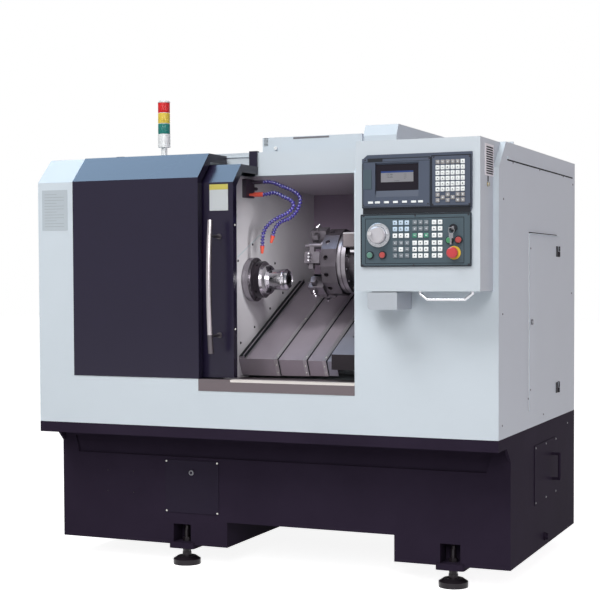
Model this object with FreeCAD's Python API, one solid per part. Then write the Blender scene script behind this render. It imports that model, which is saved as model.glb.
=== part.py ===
import FreeCAD, Part
import math
import os

# Slant-bed turning lathe with a full sheet-metal enclosure.
#
# Sizes are in millimetres.  While the pieces are drawn, X runs from left to right along the
# spindle with 0 in the middle of the enclosure, Y runs from the front sheet (0) to the rear,
# and Z is the height over the floor.  At the very end every piece is moved by one and the
# same step, so that the finished frame has its origin on the floor, under the middle of the
# whole machine.  The sliding door is drawn open, as the operator leaves it between two parts.

# ---------------------------------------------------------------- driving dimensions
length = 2000.0            # over the two side sheets
depth = 1293.0             # front sheet to rear sheet
roof_z = 1716.0            # top of the roof sheet
enclosure_z = 606.0        # top of the black base
bend_z = 1614.0            # where the front sheet starts to lean back
chamfer = 102.0            # height and depth of the leaning strip
sheet = 2.5                # sheet-metal thickness
return_depth = 57.0        # how far the front sheet wraps round each side
half = length / 2

roof_front_y = 280.0       # front edge of the roof over the door opening
window_right_x = 432.0     # right edge of the door opening
sill_bottom_z = 756.0
sill_top_z = 805.0

cover_left_x = -828.0      # fixed dark cover beside the opening
cover_right_x = -240.0
door_width = 712.0
door_right_x = -105.0      # in the open position
door_inset = 44.0          # door face behind the front sheet
door_travel = 545.0

base_recess = 175.0        # base front face behind the front sheet
base_bottom_z = 88.0
flange_height = 44.0
fork_left_x = -205.0       # tunnel for fork-lift arms
fork_right_x = 530.0
fork_top_z = 194.0
foot_pad_radius = 58.0

slant = math.radians(26.0)  # slope of the bed
spindle_y = 315.0
spindle_z = 1203.0
cover_level = -241.0       # way-cover surface under the spindle, square to the slope

carriage_min = -0.010      # travel along the bed, metres
carriage_max = 0.250

box_left_x = 505.0         # overhanging control box
box_right_x = 979.0
box_front_y = -172.0
box_bottom_z = 1160.0
box_top_z = 1713.0

parts = {}


# ---------------------------------------------------------------- small building helpers
def vec(x, y, z):
    return FreeCAD.Vector(x, y, z)


def block(x0, x1, y0, y1, z0, z1):
    """A box between two corners."""
    return Part.makeBox(x1 - x0, y1 - y0, z1 - z0, vec(x0, y0, z0))


def rod(start, direction, radius, size):
    """A round bar that starts at a point and runs along a direction."""
    return Part.makeCylinder(radius, size, vec(*start), vec(*direction))


def tube(start, direction, outer, inner, size):
    """A round bar with a hole along its axis."""
    return rod(start, direction, outer, size).cut(rod(start, direction, inner, size))


def cone(start, direction, radius_a, radius_b, size):
    return Part.makeCone(radius_a, radius_b, size, vec(*start), vec(*direction))


def prism_x(outline, x0, x1):
    """An outline of (y, z) points, drawn out along X."""
    corners = [vec(x0, y, z) for y, z in outline]
    return Part.Face(Part.makePolygon(corners + corners[:1])).extrude(vec(x1 - x0, 0, 0))


def prism_y(outline, y0, y1):
    """An outline of (x, z) points, drawn out along Y."""
    corners = [vec(x, y0, z) for x, z in outline]
    return Part.Face(Part.makePolygon(corners + corners[:1])).extrude(vec(0, y1 - y0, 0))


def side_line(line, distance):
    """The open line of (y, z) points moved sideways by a distance, with sharp corners."""
    moved = []
    for index, (y, z) in enumerate(line):
        normals = []
        for first, second in ((index - 1, index), (index, index + 1)):
            if first < 0 or second >= len(line):
                continue
            run = (line[second][0] - line[first][0], line[second][1] - line[first][1])
            size = math.hypot(*run)
            normals.append((run[1] / size, -run[0] / size))
        if len(normals) == 1:
            ny, nz = normals[0]
            reach = distance
        else:
            ny = normals[0][0] + normals[1][0]
            nz = normals[0][1] + normals[1][1]
            size = math.hypot(ny, nz)
            ny, nz = ny / size, nz / size
            reach = distance / (ny * normals[0][0] + nz * normals[0][1])
        moved.append((y + ny * reach, z + nz * reach))
    return moved


def folded(line, thickness, x0, x1):
    """A sheet folded along an open line of (y, z) points; its body lies to the line's right."""
    return prism_x(line + side_line(line, thickness)[::-1], x0, x1)


def on_slant(u, n):
    """The (y, z) place of a point u up the slope and n square to it, from the spindle axis."""
    y = spindle_y + u * math.cos(slant) - n * math.sin(slant)
    z = spindle_z + u * math.sin(slant) + n * math.cos(slant)
    return (y, z)


def slant_block(x0, x1, u0, u1, n0, n1):
    """A box whose sides follow the sloping bed."""
    corners = [(u0, n0), (u1, n0), (u1, n1), (u0, n1)]
    return prism_x([on_slant(u, n) for u, n in corners], x0, x1)


def slant_rod(x, u0, n, radius, size):
    """A round bar that runs up the slope."""
    y, z = on_slant(u0, n)
    return rod((x, y, z), (0, math.cos(slant), math.sin(slant)), radius, size)


def rounded(shape, radius, axis, keep=None):
    """Rounds the straight edges that run along one axis."""
    edges = []
    for edge in shape.Edges:
        if len(edge.Vertexes) != 2:
            continue
        run = edge.Vertexes[1].Point.sub(edge.Vertexes[0].Point)
        if run.Length > 0 and abs(run.normalize().dot(axis)) > 0.999:
            if keep is None or keep(edge.CenterOfMass):
                edges.append(edge)
    return shape.makeFillet(radius, edges)


def joined(shapes):
    """Several touching or crossing solids made into one."""
    return shapes[0].fuse(shapes[1:]).removeSplitter()


along_x = vec(1, 0, 0)
along_y = vec(0, 1, 0)
along_z = vec(0, 0, 1)


# ---------------------------------------------------------------- black base
foot_places = ((-416.0, 218.0), (760.0, 218.0), (-860.0, 1250.0), (-300.0, 1250.0), (760.0, 1250.0))
pocket_half = 41.0
pocket_depth = 90.0
lug_half = 58.0
lug_bottom_z = 72.0
lug_top_z = 97.0
base_wall = 14.0
base_rear_y = depth
cover_opening = (-475.0, -260.0, 240.0, 428.0)
side_opening = (565.0, 910.0, 300.0, 506.0)


def base_frame():
    """Welded base: a walled box on two legs, a flange on top, pockets for the levelling feet."""
    shell = block(-half, half, base_recess, base_rear_y, base_bottom_z, enclosure_z - flange_height)
    hollow = block(-half + base_wall, half - base_wall, base_recess + base_wall,
                   base_rear_y - base_wall, fork_top_z + base_wall, enclosure_z - flange_height)
    shell = shell.cut(hollow)
    for x0, x1 in ((-half + base_wall, fork_left_x - base_wall),
                   (fork_right_x + base_wall, half - base_wall)):
        shell = shell.cut(block(x0, x1, base_recess + base_wall, base_rear_y - base_wall,
                                base_bottom_z + base_wall, fork_top_z + base_wall))
    tunnel = block(fork_left_x, fork_right_x, 0, depth + 10, base_bottom_z - 1, fork_top_z)
    shell = shell.cut(tunnel)
    flange = block(-half, half, 0, depth, enclosure_z - flange_height, enclosure_z)
    well = block(-half + 60, half - 60, base_recess + 40, depth - 60, enclosure_z - flange_height,
                 enclosure_z)
    flange = flange.cut(well)
    gusset = [(base_recess - 55, enclosure_z - flange_height), (base_recess, enclosure_z - flange_height),
              (base_recess, enclosure_z - flange_height - 55)]
    gussets = [prism_x(gusset, x, x + 12) for x in (-half, half - 12)]
    shape = joined([shell, flange] + gussets)
    recess = [(-920, 459), (-935, 530), (925, 530), (905, 459)]
    shape = shape.cut(prism_y(recess, base_recess - 1, base_recess + 8))
    x0, x1, z0, z1 = cover_opening
    shape = shape.cut(block(x0, x1, base_recess - 1, base_recess + base_wall + 1, z0, z1))
    y0, y1, z0, z1 = side_opening
    shape = shape.cut(block(half - base_wall - 1, half + 1, y0, y1, z0, z1))
    pockets = []
    for x, y in foot_places:
        front = y < depth / 2
        y0 = base_recess if front else base_rear_y - pocket_depth
        y1 = y0 + pocket_depth
        outer = block(x - pocket_half - 10, x + pocket_half + 10, y0, y1, base_bottom_z, 184)
        inner = block(x - pocket_half, x + pocket_half, y0 + (-1 if front else 10),
                      y1 + (-10 if front else 1), base_bottom_z - 1, 174)
        lug_y0 = base_recess - 12 if front else y0 + 2
        lug_y1 = y1 - 2 if front else base_rear_y + 12
        lug = block(x - lug_half, x + lug_half, lug_y0, lug_y1, lug_bottom_z, lug_top_z)
        lug = rounded(lug, 12, along_z)
        shape = shape.fuse(outer).cut(inner).fuse(lug)
        pockets.append(rod((x, y, lug_bottom_z - 1), (0, 0, 1), 10.2, 40))
    for hole in pockets:
        shape = shape.cut(hole)
    drain = rod((half - 2, 726, 127), (1, 0, 0), 17, 8)
    plug = prism_hex((half + 6, 726, 127), (1, 0, 0), 24, 11)
    return shape.removeSplitter().fuse(drain).fuse(plug).removeSplitter()


def prism_hex(start, direction, across, size):
    """A hexagon bar, such as a bolt head, measured across its flats."""
    radius = across / math.sqrt(3)
    frame = FreeCAD.Rotation(along_z, vec(*direction))
    corners = []
    for step in range(6):
        angle = math.radians(60 * step + 30)
        corner = frame.multVec(vec(radius * math.cos(angle), radius * math.sin(angle), 0))
        corners.append(corner.add(vec(*start)))
    return Part.Face(Part.makePolygon(corners + corners[:1])).extrude(vec(*direction) * size)


def levelling_foot(x, y):
    """A domed pad with a screw through the lug and its lock nut, set once at installation."""
    pad = rod((x, y, 0), (0, 0, 1), foot_pad_radius, 22)
    pad = pad.fuse(cone((x, y, 22), (0, 0, 1), foot_pad_radius, 40, 12))
    neck = rod((x, y, 34), (0, 0, 1), 19, 16)
    nut = prism_hex((x, y, 50), (0, 0, 1), 30, lug_bottom_z - 50)
    screw = rod((x, y, 40), (0, 0, 1), 10, 108)
    head = prism_hex((x, y, 148), (0, 0, 1), 16, 14)
    upper_nut = prism_hex((x, y, lug_top_z), (0, 0, 1), 30, 16)
    return joined([pad, neck, nut, screw, head, upper_nut])


def levelling_feet():
    return Part.makeCompound([levelling_foot(x, y) for x, y in foot_places])


def base_front_cover():
    """Screwed plate with a quarter-turn lock over the front opening of the base."""
    plate = rounded(block(-493, -242, base_recess - 3, base_recess, 223, 445), 6, along_y)
    for x in (-487, -248):
        for z in (229, 439):
            plate = plate.cut(rod((x, base_recess - 4, z), (0, 1, 0), 2.6, 6))
    lock = rod((-367, base_recess - 9, 394), (0, 1, 0), 11, 8)
    slot = block(-373, -361, base_recess - 10, base_recess - 7, 393, 395)
    return plate.fuse(lock.cut(slot))


def base_side_cover():
    """Screwed side plate with its welded bow handle."""
    plate = rounded(block(half, half + 3, 546, 929, 281, 525), 8, along_x)
    for y in (560, 737, 915):
        for z in (291, 515):
            plate = plate.cut(rod((half - 1, y, z), (1, 0, 0), 2.6, 6))
    grip = rod((half + 32, 856, 352), (0, 0, 1), 6, 106)
    legs = [rod((half + 2, 856, z), (1, 0, 0), 6, 30) for z in (352, 458)]
    knuckles = [Part.makeSphere(6, vec(half + 32, 856, z)) for z in (352, 458)]
    return joined([plate, grip] + legs + knuckles)


# ---------------------------------------------------------------- enclosure sheets
def front_line(inset=0.0, top_y=None):
    """The front profile: upright, leaning strip, and the edge that lies on the roof."""
    rise = inset * math.tan(math.radians(22.5))
    line = [(inset, enclosure_z), (inset, bend_z - rise), (chamfer + rise, roof_z - inset)]
    if top_y is not None:
        line.append((top_y, roof_z - inset))
    return line


def return_seam():
    """Seam on each side where the front sheet's return meets the side sheet, from the base up."""
    turn_z = bend_z - return_depth * math.tan(math.radians(22.5))
    return [(return_depth, enclosure_z), (return_depth, turn_z),
            (return_depth + roof_z - sheet - turn_z, roof_z - sheet)]


def front_panel():
    """The folded front sheet with the door opening and the two roof corners."""
    skin = folded(front_line(0, roof_front_y), sheet, -half, half)
    seam = return_seam()
    edge = front_line(0) + [(seam[2][0] + sheet, roof_z)] + seam[1::-1]
    returns = [prism_x(edge, x, x + sheet) for x in (-half, half - sheet)]
    shape = joined([skin] + returns)
    opening = block(cover_right_x - 3.2, window_right_x, -5, roof_front_y + 5, sill_bottom_z + 8, roof_z + 5)
    shape = shape.cut(block(cover_left_x + 20, cover_right_x, -5, roof_front_y + 5, sill_top_z + 20,
                            roof_z + 5))
    hanger_notch = block(window_right_x - 1, door_right_x + door_travel + 6, 266, roof_front_y + 1,
                         roof_z - 5, roof_z + 1)
    return shape.cut(opening).cut(hanger_notch)


def fixed_cover():
    """Dark cover that the door slides behind: folded like the front, with a deep end flange."""
    line = front_line(-3.0, 265.0)
    line[0] = (-3.0, sill_top_z)
    skin = folded(line, 3.0, cover_left_x, cover_right_x)
    flange = folded(line, 35.0, cover_right_x - 3.0, cover_right_x)
    return joined([skin, flange])


def header_beam():
    """Box section over the opening, with the running rail of the door and the closing
    sheet behind the top of the door."""
    under_roof = roof_z - sheet
    outline = [(285, 1634), (345, 1634), (345, under_roof), (rail_rear_y, under_roof),
               (rail_rear_y, rail_top_z), (285, rail_top_z)]
    beam = prism_x(outline, header_left_x, half - 20)
    hollow = block(header_left_x + 3, half - 23, 288, 342, 1637, 1710)
    rail = block(-800, header_left_x, 285, rail_rear_y, roof_z, rail_top_z)
    screen = block(-800, header_left_x, 285, 287.5, 1655, under_roof)
    return beam.cut(hollow).fuse(rail).fuse(screen)


def sill_strip():
    """Stainless strip under the opening, folded inwards below the door."""
    line = [(-2.0, sill_bottom_z), (-2.0, sill_top_z - 1), (36.0, sill_top_z - 1)]
    return folded(line, 2.0, cover_right_x - 3, window_right_x)


header_left_x = -118.0     # the beam starts here; only its rail runs on to the left
rail_rear_y = 291.0
rail_top_z = 1732.0
riser_left_x = -125.0
riser_right_x = 322.0
riser_front_y = 374.0
riser_top_z = 1800.0
duct_left_x = 322.0
duct_right_x = 466.0
duct_front_y = 393.0
duct_top_z = 1837.0


def roof_panel():
    """Roof sheet with the raised housing over the slides and the narrow cable duct."""
    plate = block(-half, half, roof_front_y, depth - sheet, roof_z - sheet, roof_z)
    riser = block(riser_left_x, riser_right_x, riser_front_y, depth - 60, roof_z - sheet, riser_top_z)
    duct_line = [(duct_front_y, roof_z - sheet), (duct_front_y, 1792),
                 (duct_front_y + 26, duct_top_z), (depth - 60, duct_top_z), (depth - 60, roof_z - sheet)]
    duct = prism_x(duct_line, duct_left_x, duct_right_x)
    riser_hollow = block(riser_left_x + sheet, riser_right_x - sheet, riser_front_y + sheet,
                         depth - 60 - sheet, roof_z - 5, riser_top_z - sheet)
    duct_hollow = prism_x(side_line(duct_line, sheet), duct_left_x + sheet, duct_right_x - sheet)
    shape = joined([plate, riser, duct]).cut(riser_hollow).cut(duct_hollow)
    shape = shape.cut(block(header_left_x - 0.5, half - 19.5, roof_front_y - 1, rail_rear_y + 0.5,
                            roof_z - 5, roof_z + 1))
    for row in range(6):
        z = 1765 + row * 6
        shape = shape.cut(block(riser_left_x + 6, riser_left_x + 26, riser_front_y - 1,
                                riser_front_y + sheet + 1, z, z + 3))
    return shape


def side_outline():
    """Outline of a side sheet: from the front return's seam to the rear, under the roof."""
    return return_seam() + [(depth - sheet, roof_z - sheet), (depth - sheet, enclosure_z)]


door_opening = (470.0, 915.0, 695.0, 1365.0)   # y and z limits of the side access opening


def left_side_panel():
    """Left side sheet with a round opening behind the spindle and two rows of louvres."""
    shape = prism_x(side_outline(), -half, -half + sheet)
    shape = shape.cut(rod((-half - 1, spindle_y, spindle_z), (1, 0, 0), 62, 6))
    for row in range(10):
        z = 760 + row * 22
        shape = shape.cut(block(-half - 1, -half + sheet + 1, 300, 460, z, z + 7))
    return shape


def right_side_panel():
    """Right side sheet with the access opening and the fixed leaves of its hinges."""
    shape = prism_x(side_outline(), half - sheet, half)
    y0, y1, z0, z1 = door_opening
    opening = rounded(block(half - 10, half + 10, y0, y1, z0, z1), 12, along_x)
    shape = shape.cut(opening)
    for z in hinge_heights:
        leaf = block(half, half + 3, hinge_y + 7.5, hinge_y + 40, z - 22, z + 22)
        ear = rod((half + 6.5, hinge_y, z - 22), (0, 0, 1), 6.5, 21.5)
        web = block(half, half + 5, hinge_y + 4, hinge_y + 8, z - 22, z - 0.5)
        pin = rod((half + 6.5, hinge_y, z - 22), (0, 0, 1), 3.0, 44)
        shape = shape.fuse(leaf).fuse(ear).fuse(web).fuse(pin)
    rail = rounded(block(half, half + 4, 118, 1242, 1652, 1662), 1.5, along_y)
    return shape.fuse(rail).removeSplitter()


hinge_y = 945.0
hinge_heights = (1317.0, 735.0)


def side_door():
    """Narrow access door on the right side, with the free leaves of its hinges."""
    panel = rounded(block(half + 1, half + 4, 450, 935, 674, 1383), 6, along_x)
    lip = block(half + 1, half + 16, 450, 935, 1380, 1383)
    shape = panel.fuse(lip)
    for z in hinge_heights:
        leaf = block(half + 4, half + 7, hinge_y - 40, hinge_y - 7.5, z - 22, z + 22)
        ear = tube((half + 6.5, hinge_y, z + 0.5), (0, 0, 1), 6.5, 3.05, 21.5)
        web = block(half + 4, half + 9, hinge_y - 8, hinge_y - 4, z + 0.5, z + 22)
        shape = shape.fuse(leaf).fuse(ear).fuse(web)
    lock = rod((half + 3, 480, 1030), (1, 0, 0), 11, 7)
    slot = block(half + 8, half + 11, 475, 485, 1029, 1031)
    return shape.fuse(lock.cut(slot)).removeSplitter()


def rear_panel():
    """Rear sheet with an outlet grille for the electrical cabinet."""
    shape = block(-half, half, depth - sheet, depth, enclosure_z, roof_z - sheet)
    shape = shape.cut(block(-half - 1, -half + sheet, depth - 10, depth + 1, enclosure_z - 1, roof_z))
    shape = shape.cut(block(half - sheet, half + 1, depth - 10, depth + 1, enclosure_z - 1, roof_z))
    for column in (-520, -300):
        for row in range(8):
            z = 900 + row * 20
            shape = shape.cut(block(column, column + 160, depth - 5, depth + 1, z, z + 8))
    return shape


# ---------------------------------------------------------------- inside of the working area
wall_x = -157.0            # working side of the wall round the spindle
right_wall_x = 985.0
liner_back_y = 1010.0
ceiling_front = (345.0, 1635.0)
ceiling_bend = (870.0, 1597.0)
ceiling_rear_z = 1591.0


def inner_outline(bottom_z):
    """Side view of the working area: upright front, ceiling line and rear wall."""
    return [(62, bottom_z), (liner_back_y + 2, bottom_z), (liner_back_y + 2, ceiling_rear_z + 2),
            (ceiling_bend[0], ceiling_bend[1] + 2), (ceiling_front[0], ceiling_front[1] + 2),
            (284, ceiling_front[1] - 2), (128, ceiling_front[1] - 2), (62, 1567)]


def headstock_wall():
    """Plate between the headstock and the working area."""
    wall = prism_x(inner_outline(700), wall_x - 4, wall_x)
    wall = wall.cut(rod((wall_x - 10, spindle_y, spindle_z), (1, 0, 0), 82, 20))
    return wall


def inner_liner():
    """One folded sheet: the sloping ceiling and the rear wall of the working area."""
    top = [ceiling_front, ceiling_bend, (liner_back_y + 2, ceiling_rear_z)]
    ceiling = folded(top, -2.0, wall_x, right_wall_x)
    back = block(wall_x, right_wall_x, liner_back_y, liner_back_y + 2, 1225, ceiling_rear_z + 2)
    side = prism_x(inner_outline(776), right_wall_x, right_wall_x + 2)
    return joined([ceiling, back, side])


def chip_tray():
    """Sloping tray that carries chips and coolant off below the way covers."""
    line = [(4, 796), (40, 796), (46, 800), (242, 797)]
    return folded(line, 2.0, wall_x, right_wall_x)


bed_seat = -350.0          # rail seats, square to the slope
trough_n = bed_seat - 60.0  # floor of the trough for the feed screw
rail_low_u = -150.0
rail_high_u = 330.0
bed_left_x = -150.0
bed_right_x = 975.0
pedestal_flat_y = 560.0
pedestal_z = 1000.0


def pedestal_top(y):
    """Height of the pedestal's sloping rear, behind its flat front."""
    return pedestal_z - max(0.0, y - pedestal_flat_y) * 100.0 / 620.0


def bed():
    """Cast slant bed with the headstock pedestal and the two hardened rails."""
    low_y, low_z = on_slant(-215, bed_seat)
    high_y, high_z = on_slant(470, bed_seat)
    outline = [(150, enclosure_z), (1180, enclosure_z), (1180, 820), (high_y + 90, high_z - 60),
               (high_y, high_z), (low_y, low_z), (150, low_z - 55)]
    body = prism_x(outline, bed_left_x, bed_right_x)
    for x0, x1 in ((-100, 210), (250, 560), (600, 925)):
        core = [(200, enclosure_z - 1), (1130, enclosure_z - 1), (1130, 790), (high_y + 60, high_z - 110),
                (low_y + 60, low_z - 40), (200, low_z - 95)]
        body = body.cut(prism_x(core, x0, x1))
    trough = slant_block(bed_left_x - 1, bed_right_x + 1, rail_low_u + 60, rail_high_u - 60,
                         trough_n, bed_seat + 1)
    body = body.cut(trough)
    pedestal = prism_x([(110, enclosure_z), (1180, enclosure_z), (1180, pedestal_top(1180)),
                        (pedestal_flat_y, pedestal_z), (110, pedestal_z)], -900, -165)
    cavity = prism_x([(150, enclosure_z - 1), (1140, enclosure_z - 1), (1140, 860), (540, 950),
                      (150, 950)], -860, -205)
    pedestal = pedestal.cut(cavity)
    foot = block(-166, bed_left_x + 1, 150, 1180, enclosure_z, 700)
    shape = joined([body, pedestal, foot])
    for u in (rail_low_u, rail_high_u):
        rail = slant_block(bed_left_x + 5, bed_right_x - 5, u - 15, u + 15, bed_seat, bed_seat + 24)
        waist_low = slant_block(bed_left_x, bed_right_x, u - 16, u - 11, bed_seat + 8, bed_seat + 16)
        waist_high = slant_block(bed_left_x, bed_right_x, u + 11, u + 16, bed_seat + 8, bed_seat + 16)
        shape = shape.fuse(rail.cut(waist_low).cut(waist_high))
    return shape.removeSplitter()


screw_u = 90.0             # feed screw between the rails
screw_n = bed_seat - 10.0


def z_drive():
    """Motor, end bearings and feed screw of the carriage."""
    y, z = on_slant(screw_u, screw_n)
    screw = rod((-148, y, z), (1, 0, 0), 16, 1030)
    bearing_left = slant_block(-146, -100, screw_u - 38, screw_u + 38, trough_n, screw_n + 34)
    bearing_right = slant_block(820, 866, screw_u - 38, screw_u + 38, trough_n, screw_n + 34)
    motor = rounded(slant_block(868, 966, screw_u - 48, screw_u + 48, trough_n, screw_n + 46), 12, along_x)
    return joined([screw, bearing_left, bearing_right, motor])


def headstock():
    """Headstock casting: a bored barrel on a wide foot."""
    foot = prism_x([(140, 1000), (500, 1000), (500, 1030), (450, 1075), (430, spindle_z),
                    (200, spindle_z), (180, 1075), (140, 1030)], -640, -170)
    barrel = rod((-640, spindle_y, spindle_z), (1, 0, 0), 118, 470)
    nose = rod((-171, spindle_y, spindle_z), (1, 0, 0), 80, 12.5)
    ribs = [block(x, x + 16, 190, 440, 1060, 1300) for x in (-560, -420, -280)]
    shape = joined([foot, barrel, nose] + ribs)
    return shape.cut(rod((-650, spindle_y, spindle_z), (1, 0, 0), 45.05, 520))


# ---------------------------------------------------------------- spindle and its drive
spindle_bore = 26.0
flange_radius = 92.0


def revolved_x(points, x0):
    """A turned part: (distance along X, radius) points revolved round the spindle axis."""
    corners = [vec(x0 + x, spindle_y, spindle_z + r) for x, r in points]
    face = Part.Face(Part.makePolygon(corners + corners[:1]))
    return face.revolve(vec(0, spindle_y, spindle_z), along_x, 360)


def spindle_shaft():
    """Hollow spindle with its bolted nose flange."""
    outline = [(0, 0), (0, 40), (210, 40), (210, 45), (700, 45), (700, flange_radius - 4),
               (704, flange_radius), (729, flange_radius), (729, 0)]
    shaft = revolved_x(outline, -857)
    shaft = shaft.cut(rod((-858, spindle_y, spindle_z), (1, 0, 0), spindle_bore, 740))
    for step in range(6):
        angle = math.radians(60 * step + 20)
        y = spindle_y + 78 * math.cos(angle)
        z = spindle_z + 78 * math.sin(angle)
        shaft = shaft.cut(rod((-136, y, z), (1, 0, 0), 8, 9))
    return shaft


def nose_screw_places():
    """The (y, z) places of the three screws round the foot of the nose sleeve."""
    angles = [math.radians(120 * step) for step in range(3)]
    return [(spindle_y + 50.5 * math.cos(a), spindle_z + 50.5 * math.sin(a)) for a in angles]


nose_pocket = 12.5         # radius of the pockets round their heads


def chuck_body():
    """Dark collet-closer body with its bright ring, screwed to the spindle flange."""
    outline = [(0, 34), (0, 74), (3, 77), (38, 77), (42, 73), (42, 61), (61, 61), (63, 59),
               (63, 56), (66, 56), (66, 34)]
    body = revolved_x(outline, -128)
    for y, z in nose_screw_places():
        body = body.cut(rod((-70, y, z), (1, 0, 0), nose_pocket, 10))
    for step in range(4):
        angle = math.radians(90 * step + 40)
        y = spindle_y + 77 * math.cos(angle)
        z = spindle_z + 77 * math.sin(angle)
        body = body.cut(rod((-104, y, z), (0, -math.cos(angle), -math.sin(angle)), 5, 14))
    return body


def nose_sleeve():
    """Bright nose with a grooved grip band."""
    outline = [(0, 34), (0, 48), (5, 48), (5, 42), (49, 42), (51, 44), (60, 44), (62, 42.5), (64, 44),
               (73, 44), (76, 41), (84, 35), (84, 34)]
    sleeve = revolved_x(outline, -62)
    sleeve = sleeve.cut(rod((-43, spindle_y - 50, spindle_z + 5), (0, 1, 0), 4.5, 20))
    for y, z in nose_screw_places():
        sleeve = sleeve.cut(rod((-63, y, z), (1, 0, 0), nose_pocket, 13))
    return sleeve


def collet():
    """Spring collet: a slit tube with a gripping bore."""
    outline = [(0, 18), (0, 33.95), (146, 33.95), (148, 32), (148, 18)]
    shape = revolved_x(outline, -128)
    for step in range(3):
        slit = block(-90, 30, spindle_y - 1, spindle_y + 1, spindle_z, spindle_z + 40)
        slit.rotate(vec(0, spindle_y, spindle_z), along_x, 120 * step + 15)
        shape = shape.cut(slit)
    return shape


def grooved_pulley(x0, y, z, radius, bore, width):
    """Belt pulley: a rim between two low flanges, with one relief groove in its middle."""
    points = [(0, bore), (0, radius + 3), (4, radius + 3), (5, radius), (width / 2 - 3, radius),
              (width / 2, radius - 3), (width / 2 + 3, radius), (width - 5, radius),
              (width - 4, radius + 3), (width, radius + 3), (width, bore)]
    corners = [vec(x0 + x, y, z + r) for x, r in points]
    face = Part.Face(Part.makePolygon(corners + corners[:1]))
    return face.revolve(vec(0, y, z), along_x, 360)


pulley_x = -790.0
pulley_width = 60.0
spindle_pulley_radius = 100.0
motor_pulley_radius = 70.0
motor_y = 700.0
motor_z = 1135.0


def spindle_pulley():
    pulley = grooved_pulley(pulley_x, spindle_y, spindle_z, spindle_pulley_radius, 40.0, pulley_width)
    return pulley


def motor_pulley():
    return grooved_pulley(pulley_x, motor_y, motor_z, motor_pulley_radius, 19.05, pulley_width)


def spindle_motor():
    """Flanged motor on its slotted mounting plate; the shaft reaches into the motor pulley."""
    body = rounded(block(-700, -380, motor_y - 95, motor_y + 95, motor_z - 95, motor_z + 95), 26, along_x)
    flange = block(-716, -700, motor_y - 110, motor_y + 110, motor_z - 110, motor_z + 110)
    shaft = rod((-795, motor_y, motor_z), (1, 0, 0), 19, 80)
    fan = rod((-380, motor_y, motor_z), (1, 0, 0), 88, 60)
    box = block(-640, -520, motor_y - 50, motor_y + 50, motor_z + 94, motor_z + 150)
    leg = prism_x([(motor_y - 105, pedestal_top(motor_y - 105)), (motor_y + 105, pedestal_top(motor_y + 105)),
                   (motor_y + 105, motor_z - 60), (motor_y - 105, motor_z - 60)], -716, -690)
    return joined([body, flange, shaft, fan, box, leg])


def drive_belt():
    """Flat loop of the poly-V belt round both pulleys."""
    gap = 0.1
    big = spindle_pulley_radius + gap
    small = motor_pulley_radius + gap
    run_y = motor_y - spindle_y
    run_z = motor_z - spindle_z
    distance = math.hypot(run_y, run_z)
    tilt = math.atan2(run_z, run_y)
    lean = math.acos((big - small) / distance)

    def loop(extra):
        def spot(y, z, radius, angle):
            return vec(pulley_x + 7, y + radius * math.cos(angle), z + radius * math.sin(angle))
        a1 = spot(spindle_y, spindle_z, big + extra, tilt + lean)
        a2 = spot(spindle_y, spindle_z, big + extra, tilt + math.pi)
        a3 = spot(spindle_y, spindle_z, big + extra, tilt - lean)
        b1 = spot(motor_y, motor_z, small + extra, tilt - lean)
        b2 = spot(motor_y, motor_z, small + extra, tilt)
        b3 = spot(motor_y, motor_z, small + extra, tilt + lean)
        edges = [Part.Arc(a1, a2, a3).toShape(), Part.makeLine(a3, b1),
                 Part.Arc(b1, b2, b3).toShape(), Part.makeLine(b3, a1)]
        return Part.Face(Part.Wire(edges)).extrude(vec(pulley_width - 14, 0, 0))

    return loop(2.6).cut(loop(0))


# ---------------------------------------------------------------- carriage, cross slide, turret
saddle_left_x = 268.0
saddle_right_x = 560.0
saddle_top = -262.0
slide_seat = -228.0        # cross-slide rail seats


def carriage():
    """Saddle on four rail blocks, with the inclined rails of the cross slide."""
    plate = slant_block(saddle_left_x, saddle_right_x, -200, 400, bed_seat + 38, saddle_top)
    shapes = [plate]
    for u in (rail_low_u, rail_high_u):
        for x in (saddle_left_x + 8, saddle_right_x - 88):
            block_body = slant_block(x, x + 80, u - 30, u + 30, bed_seat + 6, bed_seat + 39)
            groove = slant_block(x - 1, x + 81, u - 15.4, u + 15.4, bed_seat, bed_seat + 24.4)
            shapes.append(block_body.cut(groove))
    neck = slant_block(saddle_left_x + 62, saddle_right_x - 30, -112, 440, saddle_top - 1, slide_seat)
    shapes.append(neck)
    nut_y, nut_z = on_slant(screw_u, screw_n)
    nut = slant_block(saddle_left_x + 120, saddle_left_x + 170, screw_u - 32, screw_u + 32, screw_n - 28,
                      bed_seat + 39)
    shapes.append(nut)
    shape = joined(shapes)
    shape = shape.cut(rod((saddle_left_x, nut_y, nut_z), (1, 0, 0), 16.6, 400))
    for x in (saddle_left_x + 90, saddle_right_x - 74):
        shape = shape.fuse(slant_block(x, x + 20, -108, 436, slide_seat, slide_seat + 16))
    groove = slant_block(saddle_left_x + 128, saddle_right_x - 96, -113, 441, slide_seat - 26,
                         slide_seat + 1)
    return shape.cut(groove).removeSplitter()


cross_screw_x = 430.0
cross_screw_n = slide_seat - 4.0


def x_drive():
    """Motor, bearings and feed screw of the cross slide."""
    screw = slant_rod(cross_screw_x, -100, cross_screw_n, 10, 545)
    bearing = slant_block(cross_screw_x - 30, cross_screw_x + 30, 404, 436, slide_seat - 26,
                          slide_seat + 16)
    motor = slant_block(cross_screw_x - 45, cross_screw_x + 45, 441, 540, slide_seat - 45,
                        slide_seat + 45)
    motor = rounded(motor, 10, vec(0, math.cos(slant), math.sin(slant)))
    return joined([screw, bearing, motor])


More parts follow.
